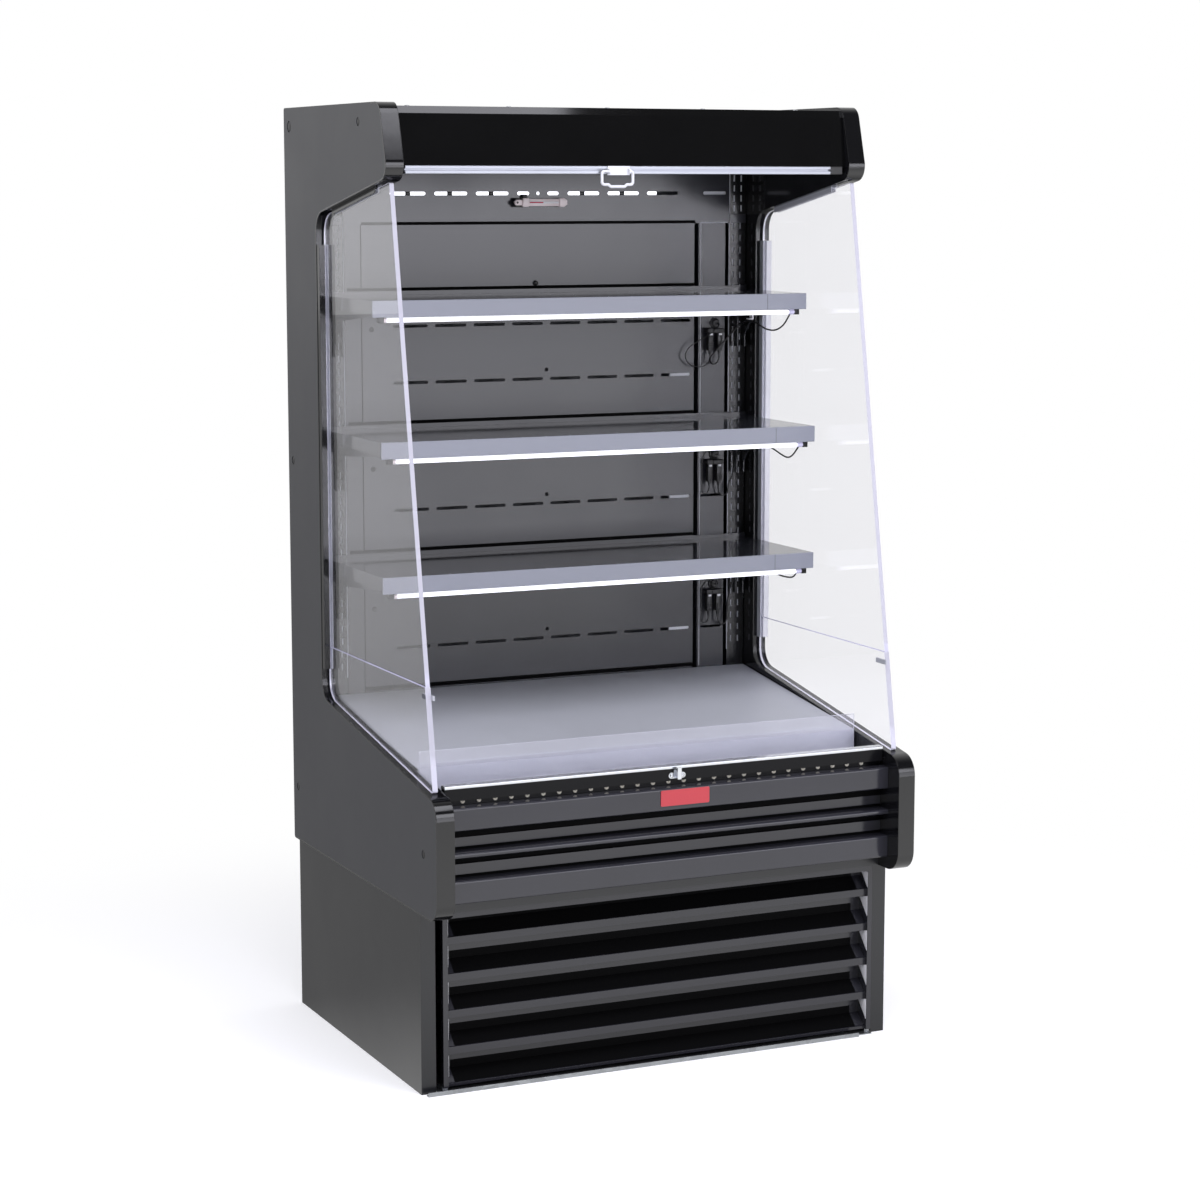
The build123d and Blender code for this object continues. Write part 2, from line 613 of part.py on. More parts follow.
def bumper_rail():
    """Backing plate of the bumper with the two recessed bands."""
    back = TUB_FRONT - BUMPER_BACK
    rail = block((-FIT_X, FIT_X), (back, TUB_FRONT), (BASE_HEIGHT + RIBS[2][0], BASE_HEIGHT + RIBS[0][1]))
    return rail + [
        block((-FIT_X, FIT_X), (TUB_FRONT - proud, back), (BASE_HEIGHT + low, BASE_HEIGHT + high))
        for low, high, proud in INSERTS
    ]


def bumper_ribs():
    """Two wide ribs and the narrow bead between them."""
    back = TUB_FRONT - BUMPER_BACK
    ribs = []
    for low_rise, high_rise, proud in RIBS:
        low, high, face = BASE_HEIGHT + low_rise, BASE_HEIGHT + high_rise, TUB_FRONT - proud
        crown = min(4.5, (high - low) / 2 - 0.3)
        section = outline([(back, low, 0), (back, high, 0), (face, high, crown), (face, low, crown)])
        ribs.append(along_x(section, (-FIT_X, FIT_X)))
    return ribs


def badge_plate():
    """Plain plate on the upper rib."""
    face = TUB_FRONT - RIBS[0][2]
    middle = BASE_HEIGHT + RIBS[0][0] + BADGE_RISE + BADGE_HIGH / 2
    plate = Pos(sum(BADGE_X) / 2, middle) * RectangleRounded(BADGE_X[1] - BADGE_X[0], BADGE_HIGH, 2.5)
    return along_y(plate, (face - 1.5, face))


def night_cover_catch():
    """Catch on the nose: a base with two screw ears and a hook in the middle."""
    middle, low = sum(CATCH_X) / 2, NOSE_Z[0] + 4
    base = SlotOverall(CATCH_X[1] - CATCH_X[0], 11) + Pos(0, 3) * Rectangle(13, 16)
    catch = along_y(Pos(middle, low + 6) * base, (NOSE_Y - 2, NOSE_Y))
    hook = folded([(NOSE_Y - 2, low), (NOSE_Y - 13, low), (NOSE_Y - 13, low + 22)], -3)
    catch += along_x(hook, (middle - 4, middle + 4))
    for x in (CATCH_X[0] + 6, CATCH_X[1] - 6):
        catch += rod((x, NOSE_Y - 2, low + 6), (x, NOSE_Y - 3.2, low + 6), 3)
    return catch


# Clear wings

def arm_z(y):
    """Underside of the upper arm at a given y."""
    return ARM_ROOT[1] + (HOOD_NOSE[1] - ARM_ROOT[1]) * (y - ARM_ROOT[0]) / (HOOD_NOSE[0] - ARM_ROOT[0])


def sill_z(y):
    """Upper side of the lower arm at a given y."""
    return SILL_ROOT[1] + (SILL_NOSE[1] - SILL_ROOT[1]) * (y - SILL_ROOT[0]) / (SILL_NOSE[0] - SILL_ROOT[0])


def wing_outline():
    """Outline of the clear wing, just inside the C cut of the end panel."""
    inset = 3.5
    return outline([
        (WING_FRONT_TOP, arm_z(WING_FRONT_TOP) - inset, 4),
        (WING_BACK, arm_z(WING_BACK) - inset, ROOT_ROUND),
        (WING_BACK, sill_z(WING_BACK) + TOUCH_GAP, ROOT_ROUND),
        (WING_FRONT_LOW, sill_z(WING_FRONT_LOW) + TOUCH_GAP, 4),
    ])


def clear_side_panels():
    """Upper wing and the slightly thicker lower wing on each side."""
    upper = (WING_MID - WING_THICK / 2, WING_MID + WING_THICK / 2)
    lower = (upper[0] - 1, upper[1] + 1)
    above = polygon([(FRONT, WING_JOINT), (REAR, WING_JOINT), (REAR, HEIGHT), (FRONT, HEIGHT)])
    pieces = [along_x(wing_outline() & above, upper), along_x(wing_outline() - above, lower)]
    return [side for piece in pieces for side in both_sides(piece)]


def panel_channels():
    """Grooved channels under the arm and up the rear edge, and a small clip at each wing joint."""
    outer = (WING_MID - CHANNEL_WIDE / 2, WING_MID + CHANNEL_WIDE / 2)
    groove = (WING_MID - WING_THICK / 2 - 1.3, WING_MID + WING_THICK / 2 + 1.3)
    y = CHANNEL_Y

    def under_arm(depth):
        return polygon([(y[0], arm_z(y[0])), (y[1], arm_z(y[1])), (y[1], arm_z(y[1]) - depth),
                        (y[0], arm_z(y[0]) - depth)])

    arm = along_x(under_arm(CHANNEL_DEEP) - Pos(0, -3.3) * under_arm(CHANNEL_DEEP), outer)
    for wall in ((outer[0], groove[0]), (groove[1], outer[1])):
        arm += along_x(under_arm(CHANNEL_DEEP), wall)
    wide = (outer[0], SIDE - 1)
    upright = block(wide, (WING_BACK - 7, ARM_ROOT[0]), CHANNEL_Z)
    upright -= block(groove, (WING_BACK - 8, WING_BACK + TOUCH_GAP), (CHANNEL_Z[0] - 1, CHANNEL_Z[1] + 1))
    inside = WING_MID - WING_THICK / 2 - 1
    clip = block((inside - 3.5, inside), (WING_FRONT_LOW + 21, WING_FRONT_LOW + 59),
                 (WING_JOINT - 23, WING_JOINT - 14))
    return [side for piece in (arm, upright, clip) for side in both_sides(piece)]


# Shelves

def hook_top(top):
    """Upper end of the highest upright slot that the bracket can hook into."""
    row = int((top - 6 - SLOT_FIRST - SLOT_HEIGHT / 2) // SLOT_PITCH)
    return SLOT_FIRST + row * SLOT_PITCH + SLOT_HEIGHT / 2


def shelf_pan(top, front):
    """Folded shelf tray with its end flanges, and the price rail on its front flange."""
    flange = front + RAIL_THICK
    low = top - RAIL_HEIGHT
    section = folded([(SHELF_BACK, top + SHELF_LIP), (SHELF_BACK, top), (flange, top), (flange, low + 2),
                      (flange + 16, low + 2)], SHELF_SHEET)
    rail = outline([(front, low, 1), (flange, low, 0), (flange, top, 0), (front, top, 1)])
    end = block((SHELF_HALF - SHELF_SHEET, SHELF_HALF), (flange, SHELF_BACK), (top - SHELF_END, top))
    tray = along_x(section, (-SHELF_HALF, SHELF_HALF)) + both_sides(end)
    return [tray, along_x(rail, (-SHELF_HALF, SHELF_HALF))]


def shelf_brackets(top, front, clip_spot):
    """Two hooked channel brackets, and the clip that leads the lamp cable along the right one."""
    inner, outer = SLOT_COLUMNS
    under = top - SHELF_SHEET
    leg, foot = BRACKET_BACK - BRACKET_LEG, under - BRACKET_DEEP
    hook, wall = hook_top(top) - 3.8, BACK_Y
    arm = polygon([(BRACKET_BACK, under), (front + 24, under), (front + 24, under - BRACKET_NOSE),
                   (leg - 45, under - BRACKET_NOSE - 16), (leg - 11, under - BRACKET_NOSE - 50),
                   (leg, under - BRACKET_NOSE - 64), (leg, foot), (BRACKET_BACK, foot)])
    cheek = polygon([(BRACKET_BACK, under), (leg - 41, under), (leg - 41, under - 18), (leg - 6, under - 36),
                     (leg, under - 50), (leg, foot), (BRACKET_BACK, foot)])
    root, tip = BRACKET_BACK - 2, wall + 4.5
    low = hook - 2 * SLOT_PITCH
    tongues = polygon([(root, hook), (wall + 8, hook), (wall + 8, hook - 12.5), (tip, hook - 12.5),
                       (tip, hook - 7), (root, hook - 7)])
    tongues += polygon([(root, low), (tip, low), (tip, low - 7), (root, low - 7)])
    bracket = along_x(arm + tongues, (outer - BRACKET / 2, outer + BRACKET / 2))
    bracket += along_x(cheek + tongues, (inner - BRACKET / 2, inner + BRACKET / 2))
    flange = block((outer - BRACKET_FLANGE, outer), (front + 24, BRACKET_BACK), (under - 2, under))
    bridge = block((inner, outer), (leg - 41, BRACKET_BACK), (under - 2, under))
    clip_y, clip_z = BACK_Y + clip_spot[0], top + clip_spot[1]
    inside = outer - BRACKET / 2
    cap = clip_z + LEAD_R + TOUCH_GAP
    clip = block((inside - 3, inside), (clip_y - 6, clip_y + 6), (cap, under - BRACKET_NOSE))
    clip += block((LEAD_X - 3, inside - 2), (clip_y - 6, clip_y + 6), (cap, cap + 2))
    return both_sides(bracket + flange + bridge) + [clip]


def shelf_lamp(top, front):
    """Tube lamp under the front edge in a holder at each end, hung from a slim strip."""
    y, z = front + LAMP_SET, top - LAMP_DROP
    ceiling = top - RAIL_HEIGHT + 2
    tube = rod((LAMP_X[0], y, z), (LAMP_X[1], y, z), LAMP_R)
    reach = LAMP_R + 1
    holders = [block(x, (y - reach, y + reach), (z - reach, ceiling))
               for x in ((LAMP_X[0] - HOLDER_LONG, LAMP_X[0]), (LAMP_X[1], LAMP_X[1] + HOLDER_LONG + 7))]
    strip = block(LAMP_X, (y - 2, y + 8), (z + LAMP_R, ceiling))
    return [tube, strip, *holders]


# Lamp leads beside the bracket, in y from the panels' face and z from the shelf's top
LEAD_SAGS = (
    ((-228, -46), (-208, -65), (-178, -77), (-142, -79), (-106, -71), (-72, -62)),
    ((-265, -51), (-246, -65), (-226, -70), (-198, -64.5), (-166, -56), (-130, -51), (-94, -52)),
    ((-269, -44.6), (-258, -54.6), (-239, -58), (-208, -58.6), (-172, -55.6), (-138, -51.6), (-104, -49.6)),
)
# From there to the turn under the plug, in x from the lead's own line, y and z as above
LEAD_DROPS = (
    ((-6, -45, -66), (-20, -31, -82), (-37, -27, -101), (-54, -25, -119), (-74, -22, -140)),
    ((-4, -66, -54), (-11.5, -44, -62), (-12, -28, -81), (-12, -20, -104), (-15, -16, -124),
     (-25, -15, -142)),
    ((-3, -74, -53.6), (-13, -50, -66.6), (-21, -32, -88.6), (-25, -20, -116.6), (-25.4, -14, -148.6)),
)
# Turn under the plug: x of its first corner from the lead's line, both corners' z from the plug's end
LEAD_TURNS = ((-63.7, -21.7, -17.5), (-25.0, -21.5, -21.5), (-25.0, -21.5, -21.5))
LEAD_CLIPS = ((-58, -62), (-72, -51), (-92, -50))


def lamp_lead(index):
    """Lead of one shelf lamp: lamp holder, sag beside the bracket, drop, turn and plug."""
    top, front, socket = SHELVES[index]
    start_y, start_z = front + LAMP_SET + LAMP_R + 1 + TOUCH_GAP, top - LAMP_DROP
    start = [(LEAD_X, start_y, start_z), (LEAD_X, start_y + 10, start_z)]
    sag = [(LEAD_X, BACK_Y + y, top + z) for y, z in LEAD_SAGS[index]]
    drop = [(LEAD_X + x, BACK_Y + y, top + z) for x, y, z in LEAD_DROPS[index]]
    plug = socket - PLUG_DROP
    x, low, level = LEAD_TURNS[index]
    turn = [(LEAD_X + x, LEAD_Y, plug + low), (PLUG_RIGHT, LEAD_Y, plug + level), (PLUG_RIGHT, LEAD_Y, plug)]
    return cord("lead %d" % (index + 1), [*start, *sag, *drop, *turn], LEAD_R)


# Harness loops from the grommet to the left plug, in x from the grommet, y from the panels' face and
# z from the socket; the highest set's loop hangs wide
WIDE_LOOP = ((0, -30, 0), (-12, -33, -12), (-28, -26, -25), (-47, -20, -36), (-66, -16, -48),
             (-75, -14, -66), (-65, -14, -83), (-45, -14, -90), (-26, -14, -88), (-16, -14, -76))
CLOSE_LOOP = ((0, -30, 0), (-7, -27, 18), (-24, -22, 14), (-34, -16, -4), (-34, -14, -34), (-32.5, -14, -57))
LOOPS = (WIDE_LOOP, CLOSE_LOOP, CLOSE_LOOP)


def harness_loop(index):
    """Slack loop from the grommet round to the left plug."""
    socket = SHELVES[index][2]
    plug = socket - PLUG_DROP
    start = (GROMMET_X, BACK_Y - SIDE_PANEL_PROUD - 8, socket)
    loop = [(GROMMET_X + x, BACK_Y + y, socket + z) for x, y, z in LOOPS[index]]
    turn = []
    if LOOPS[index] is CLOSE_LOOP:
        turn = [(GROMMET_X - 34, LEAD_Y, plug - 16), (PLUG_LEFT, LEAD_Y, plug - 16)]
    return cord("harness %d" % (index + 1), [start, *loop, *turn, (PLUG_LEFT, LEAD_Y, plug)], HARNESS_R)


def lamp_connectors():
    """Grommet, socket body and two plugs of each set on the right side panel."""
    wall = BACK_Y - SIDE_PANEL_PROUD
    solids = []
    for _, _, z in SHELVES:
        flange = rod((GROMMET_X, wall, z), (GROMMET_X, wall - 3, z), 11)
        collar = rod((GROMMET_X, wall - 3, z), (GROMMET_X, wall - 8, z), 7.5)
        body = block(SOCKET_X, (wall - 20, wall), (z - SOCKET_DROP[1], z - SOCKET_DROP[0]))
        solids += [flange + collar, body]
        tail, shell = z - PLUG_DROP, z - PLUG_DROP + 8
        for x in (PLUG_LEFT, PLUG_RIGHT):
            plug = block((x - 5.5, x + 5.5), (LEAD_Y - 5, LEAD_Y + 5), (shell, z - SOCKET_DROP[1]))
            solids.append(plug + rod((x, LEAD_Y, tail), (x, LEAD_Y, shell), 3.2))
    return solids


def thermometer():
    """Glass tube on a small plate, hung by a hook in the short slot of the lit row."""
    back, axis_y, axis_z = BACK_Y - 9, BACK_Y - 15.6, LIT_ROW - 18
    plate = block((-70, 46), (back - 2, back), (axis_z - 9, axis_z + 9))
    plate += block((-36, 26), (back - 5, back - 2), (axis_z - 2, axis_z + 2))
    plate -= rod((-38.5, axis_y, axis_z), (28.5, axis_y, axis_z), 4.5)
    tube = rod((-38, axis_y, axis_z), (28, axis_y, axis_z), 4.5)
    top = LIT_ROW - LIT_SLOT[1] / 2 + TOUCH_GAP + SHEET
    section = folded([(back, axis_z - 8), (back, top), (BACK_Y + 4, top), (BACK_Y + 4, top - 7)], -SHEET)
    middle = LIT_SHORT[0][0]
    return [plate, tube, along_x(section, (middle - 5, middle + 5))]


# Evaporator

def evaporator_coil():
    """Finned coil with its end plates and through tubes, standing on the tub floor."""
    depth = (COIL_Y[0], COIL_Y[1])
    count = int(2 * COIL_X / FIN_PITCH)
    coil = Part()
    for i in range(count + 1):
        x = -COIL_X + i * FIN_PITCH
        coil += block((x, x + 1.5), depth, (TUB_TOP, COIL_TOP))
    for y in [COIL_Y[0] + 40 * i for i in range(1, 5)]:
        for z in COIL_ROWS:
            coil += rod((-COIL_X - 12, y, z), (COIL_X + 12, y, z), 5)
    return coil


def evaporator_plenum():
    """Fan baffle across the tub with a motor behind each hole on a strap."""
    top, half = DECK_FRONT_Z, INNER - LEDGE - TOUCH_GAP
    plate = block((-half, half), (BAFFLE_Y - 2, BAFFLE_Y), (TUB_TOP, top))
    plate += block((-half, half), (BAFFLE_Y, BAFFLE_Y + 20), (top - 2, top))
    reach, strap, height = FAN_R + 18, BAFFLE_Y + 40, (FAN_Z - 8, FAN_Z + 8)
    for x in (-FAN_X, FAN_X):
        plate -= rod((x, BAFFLE_Y - 5, FAN_Z), (x, BAFFLE_Y + 5, FAN_Z), FAN_R + FAN_HOLE_GAP)
        motor = rod((x, BAFFLE_Y + 30, FAN_Z), (x, BAFFLE_Y + 75, FAN_Z), 32)
        motor += block((x - reach - 2, x + reach + 2), (strap, strap + 3), height)
        motor += block((x - reach - 2, x - reach + 2), (BAFFLE_Y, strap + 3), height)
        motor += block((x + reach - 2, x + reach + 2), (BAFFLE_Y, strap + 3), height)
        plate += motor - rod((x, BAFFLE_Y + 29, FAN_Z), (x, BAFFLE_Y + 60, FAN_Z), SHAFT_R + RUNNING)
    return plate


def axial_fan(x, y, z, radius, blades, depth):
    """Hub, pitched blades and a shaft that points to the rear."""
    hub = rod((x, y - depth / 2, z), (x, y + depth / 2, z), radius * 0.28)
    fan = hub + rod((x, y + depth / 2, z), (x, y + depth / 2 + 36, z), SHAFT_R)
    mid = radius * 0.62
    blade = Pos(0, 0, mid) * Rot(0, -32, 0) * Rot(0, 0, 33) * Box(radius * 0.55, 1.8, radius * 0.76)
    for i in range(blades):
        fan += Pos(x, y, z) * Rot(0, i * 360 / blades, 0) * blade
    return fan & rod((x, y - depth, z), (x, y + depth + 40, z), radius)


def evaporator_fan(side):
    """Evaporator fan in its baffle hole."""
    return axial_fan(side * FAN_X, BAFFLE_Y - 1, FAN_Z, FAN_R, 5, 24)


# Machine compartment

CONDENSER_FAN_SPOT = (sum(CONDENSER_X) / 2, CONDENSER_Y[1] + 35, sum(CONDENSER_Z) / 2 + 3)
CONDENSER_ROWS = [CONDENSER_Z[0] + 36 + (CONDENSER_Z[1] - CONDENSER_Z[0] - 56) * i / 4 for i in range(5)]


def condenser_coil():
    """Finned condenser on two feet behind the louvres."""
    x, y, z = CONDENSER_X, CONDENSER_Y, CONDENSER_Z
    coil = Part() + block((x[0], x[0] + 2), y, z) + block((x[1] - 2, x[1]), y, z)
    count = int((x[1] - x[0]) / 11)
    for i in range(1, count):
        coil += block((x[0] + i * 11 - 0.5, x[0] + i * 11 + 0.5), y, (z[0] + 6, z[1] - 6))
    for height in CONDENSER_ROWS:
        coil += rod((x[0] - 8, (y[0] + y[1]) / 2, height), (x[1] + 8, (y[0] + y[1]) / 2, height), 4)
    for foot in (x[0], x[1] - 30):
        coil += block((foot, foot + 30), y, (BASE_SHEET, z[0] + 1))
    return coil


def condenser_shroud():
    """Shroud box behind the condenser with its fan hole and the motor on a strap."""
    cx, cy, cz = CONDENSER_FAN_SPOT
    x, z = CONDENSER_X, (CONDENSER_Z[0], CONDENSER_Z[1])
    front, rear = CONDENSER_Y[1], CONDENSER_Y[1] + 30
    shroud = block(x, (front, rear), z)
    shroud -= block((x[0] + 2, x[1] - 2), (front - 1, rear - 2), (z[0] + 2, z[1] - 2))
    shroud -= rod((cx, rear - 5, cz), (cx, rear + 5, cz), CONDENSER_FAN_R + FAN_HOLE_GAP)
    reach, strap, height = CONDENSER_FAN_R + 22, cy + 40, (cz - 9, cz + 9)
    motor = rod((cx, cy + 24, cz), (cx, cy + 80, cz), 36)
    motor += block((cx - reach - 2, cx + reach + 2), (strap, strap + 3), height)
    motor += block((cx - reach - 2, cx - reach + 2), (rear, strap + 3), height)
    motor += block((cx + reach - 2, cx + reach + 2), (rear, strap + 3), height)
    return shroud + motor - rod((cx, cy + 20, cz), (cx, cy + 70, cz), SHAFT_R + RUNNING)


def condenser_fan():
    """Condenser fan in the shroud's hole."""
    return axial_fan(*CONDENSER_FAN_SPOT, CONDENSER_FAN_R, 5, 26)


def compressor():
    """Welded compressor shell on a foot plate with a terminal box."""
    x, y = COMPRESSOR
    shell = rod((x, y, COMPRESSOR_Z[0]), (x, y, COMPRESSOR_Z[1]), COMPRESSOR_R)
    shell = fillet(shell.edges().filter_by(GeomType.CIRCLE), 28)
    foot = block((x - 90, x + 90), (y - 60, y + 60), (14, 26))
    spots = [(x + dx, y + dy) for dx in (-75, 75) for dy in (-45, 45)]
    feet = [rod((*spot, BASE_SHEET), (*spot, 14), 12) for spot in spots]
    return shell + foot + feet + block((x + 60, x + 88), (y - 25, y + 25), (90, 150))


def refrigerant_tubes():
    """Discharge, liquid and suction tubes between the two units."""
    x, y = COMPRESSOR
    hx, hy, _ = TUBE_HOLE
    dome, level, over = COMPRESSOR_Z[1], TUBE_LEVEL, BASE_HEIGHT - 44
    wall = CONDENSER_X[1] + 8
    mid = sum(CONDENSER_Y) / 2
    low, high = CONDENSER_ROWS[0], CONDENSER_ROWS[-1]
    discharge = bent_tube([(x - 20, y, dome), (x - 20, y, level), (x - 20, mid, level),
                           (wall + 30, mid, level), (wall + 30, mid, high), (wall, mid, high)],
                          4, [14, 14, 8, 8])
    liquid = bent_tube([(wall, mid, low), (wall + 22, mid, low), (wall + 22, 30, low), (wall + 22, 30, over),
                        (wall + 22, hy, over), (hx - 8, hy, over), (hx - 8, hy, COIL_ROWS[0]),
                        (hx - 8, COIL_Y[1], COIL_ROWS[0])], 3, [10, 14, 14, 14, 14, 14])
    suction = bent_tube([(hx + 10, COIL_Y[1], COIL_ROWS[2]), (hx + 10, hy, COIL_ROWS[2]),
                         (hx + 10, hy, level), (hx + 10, y, level), (x + 22, y, level), (x + 22, y, dome)],
                        5, [20, 14, 12, 12])
    return [discharge, liquid, suction]


def electrical_box():
    """Control box at the right of the compartment."""
    x, y = (BASE_EDGE - 160, BASE_EDGE - 40), (LOUVRE_Y[1] + 47, LOUVRE_Y[1] + 192)
    box = block(x, y, (BASE_SHEET, 150))
    return box + block((x[0] + 15, x[1] - 15), (y[0] - 4, y[0]), (20, 130))


def condensate_pan():
    """Open evaporation tray."""
    x, y, z = CONDENSER_X, (CONDENSER_Y[1] + 140, CONDENSER_Y[1] + 310), (BASE_SHEET, 42)
    return block(x, y, z) - block((x[0] + 2, x[1] - 2), (y[0] + 2, y[1] - 2), (z[0] + 2, z[1] + 1))


def base_side_panels():
    """Side panels with front posts, light inner returns and top flanges that carry the cabinet."""
    edge = BASE_EDGE
    section = folded([(edge, BASE_BACK), (edge, BASE_FRONT), (edge - POST_WIDE, BASE_FRONT),
                      (edge - POST_WIDE, BASE_FRONT + POST_DEEP)], -BASE_SHEET)
    side = along_z(section, (0, BASE_HEIGHT))
    flange = block((edge - BASE_FLANGE, edge - BASE_SHEET), (LOUVRE_Y[1] + 8, BASE_BACK),
                   (BASE_HEIGHT - BASE_SHEET, BASE_HEIGHT))
    return both_sides(side + flange)


def base_pan():
    """Galvanised floor with a front lip, and pads under the louvre panel's stiles."""
    inside = BASE_EDGE - BASE_SHEET
    post = inside - POST_WIDE - 1
    pan = block((-inside, inside), (BASE_FRONT + 2, BASE_BACK - BASE_SHEET), (0, BASE_SHEET))
    pan -= both_sides(block((post, inside + 1), (BASE_FRONT, BASE_FRONT + POST_DEEP + 1), (-1, 5)))
    pan += block((-post, post), (PAN_FRONT + 8, BASE_FRONT + 4), (0, BASE_SHEET))
    pan += block(PAN_TONGUE_X, (PAN_FRONT, PAN_FRONT + 10), (0, BASE_SHEET))
    pan += block(PAN_TONGUE_X, (PAN_FRONT, PAN_FRONT + BASE_SHEET), (0, PAN_LIP))
    pads = [block(x, (LOUVRE_Y[0] + 6, LOUVRE_Y[1] - 2), (BASE_SHEET, LOUVRE_Z[0] - TOUCH_GAP))
            for x in ((LOUVRE_X[0], LOUVRE_X[0] + LOUVRE_STILE), (LOUVRE_X[1] - LOUVRE_STILE, LOUVRE_X[1]))]
    return pan + pads


def base_rear_panel():
    """Rear panel of the compartment with rows of air slots."""
    inside = BASE_EDGE - BASE_SHEET
    height = (BASE_SHEET, BASE_HEIGHT - BASE_SHEET)
    panel = block((-inside, inside), (BASE_BACK - BASE_SHEET, BASE_BACK), height)
    rows = slots((60, 6), 80, 9, 0, [90 + 24 * i for i in range(8)])
    return panel - along_y(rows, (BASE_BACK - 5, BASE_BACK + 3))


def louvre_panel():
    """Pull-off front grille: two stiles, a top rail and five folded blades."""
    x, y, z = LOUVRE_X, LOUVRE_Y, LOUVRE_Z
    lip_y = y[0] + 8
    panel = Part()
    for outer, inner in ((x[0], x[0] + LOUVRE_STILE), (x[1], x[1] - LOUVRE_STILE)):
        turn = SHEET if inner > outer else -SHEET
        panel += along_z(folded([(outer, y[0]), (inner, y[0]), (inner, y[1])], turn), z)
    panel += along_x(folded([(y[1], z[1]), (y[0], z[1]), (y[0], z[1] - 13), (lip_y, z[1] - 13)], SHEET), x)
    between = (x[0] + LOUVRE_STILE - SHEET, x[1] - LOUVRE_STILE + SHEET)
    for i in range(LOUVRE_COUNT):
        top = LOUVRE_TOPS + i * LOUVRE_PITCH
        low = max(top - LOUVRE_LIP, z[0])
        high = min(top + 64, z[1] - 16)
        blade = folded([(lip_y, low), (lip_y, top), (lip_y + 3, top + 1), (lip_y + 27, top + 22),
                        (lip_y + 27, high)], -SHEET)
        panel += along_x(blade, between)
    return panel


def screws_and_caps():
    """Header screws, end panel caps, and the plugs and knob on the centre back panel."""
    pitch = (2 * INNER - 119) / 4
    spots = [(24 - INNER + pitch * i, HEADER_Y + 32) for i in range(5)]
    top = [rod((x, y, ROOF_TOP), (x, y, ROOF_TOP + 1.5), 5) for x, y in spots]
    x = BACK_PANEL_X[0] + 20
    plugs = [rod((x, BACK_Y, z), (x, BACK_Y - 1.5, z), 5)
             for z in (BACK_TOP - 203, BACK_BOTTOM + 463, BACK_BOTTOM + 183.5)]
    knob = rod((-17, BACK_Y, BACK_TOP - 117), (-17, BACK_Y - 5, BACK_TOP - 117), 5)
    caps = [side for cap in end_caps() for side in both_sides(cap)]
    return top + plugs + [knob] + caps


NODES = {
    "end_panel_left": lambda: mirror(end_panel(), Plane.YZ),
    "end_panel_right": end_panel,
    "edge_trims": edge_trims,
    "header_panel": header_panel,
    "roof_panel": roof_panel,
    "rear_wall": rear_wall,
    "insulated_tub": insulated_tub,
    "ceiling_panel": ceiling_panel,
    "back_panel": back_panel,
    "back_side_panels": back_side_panels,
    "shelf_uprights": shelf_uprights,
    "honeycomb_grille": honeycomb_grille,
    "night_cover_housing": night_cover_housing,
    "night_cover_roller": night_cover_roller,
    "night_cover_cloth": night_cover_cloth,
    "pull_bar": pull_bar,
    "handle_clip": handle_clip,
    "pull_handle": pull_handle,
    "deck_pan": deck_pan,
    "front_stop": front_stop,
    "deck_ledges": deck_ledges,
    "deck_nose": deck_nose,
    "nose_strip": nose_strip,
    "bumper_rail": bumper_rail,
    "bumper_ribs": bumper_ribs,
    "badge_plate": badge_plate,
    "night_cover_catch": night_cover_catch,
    "clear_side_panels": clear_side_panels,
    "panel_channels": panel_channels,
    "lamp_connectors": lamp_connectors,
    "harness_loops": lambda: [harness_loop(index) for index in range(3)],
    "thermometer": thermometer,
    "evaporator_coil": evaporator_coil,
    "evaporator_plenum": evaporator_plenum,
    "evaporator_fan_left": lambda: evaporator_fan(-1),
    "evaporator_fan_right": lambda: evaporator_fan(1),
    "condenser_coil": condenser_coil,
    "condenser_shroud": condenser_shroud,
    "condenser_fan": condenser_fan,
    "compressor": compressor,
    "refrigerant_tubes": refrigerant_tubes,
    "electrical_box": electrical_box,
    "condensate_pan": condensate_pan,
    "base_side_panels": base_side_panels,
    "base_pan": base_pan,
    "base_rear_panel": base_rear_panel,
    "louvre_panel": louvre_panel,
    "screws_and_caps": screws_and_caps,
}
for number, (shelf_top, shelf_front, _) in enumerate(SHELVES, 1):
    spot = LEAD_CLIPS[number - 1]
    NODES["shelf_%d_pan" % number] = lambda t=shelf_top, f=shelf_front: shelf_pan(t, f)
    NODES["shelf_%d_brackets" % number] = lambda t=shelf_top, f=shelf_front, s=spot: shelf_brackets(t, f, s)
    NODES["shelf_%d_lamp" % number] = lambda t=shelf_top, f=shelf_front: shelf_lamp(t, f)
    NODES["shelf_%d_lead" % number] = lambda i=number - 1: lamp_lead(i)

os.makedirs("parts", exist_ok=True)
for node, build in NODES.items():
    made = build()
    solids = [solid for shape in (made if isinstance(made, list) else [made]) for solid in shape.solids()]
    export_step(Compound(children=solids), "parts/%s.step" % node)
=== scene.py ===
"""Open display cooler: its finishes, wiring, lamps and fine fittings, dressed over the solid model."""

from __future__ import annotations

import logging
import math
from dataclasses import dataclass
from enum import Enum
from typing import Iterable, Sequence

import bpy
from mathutils import Matrix, Vector

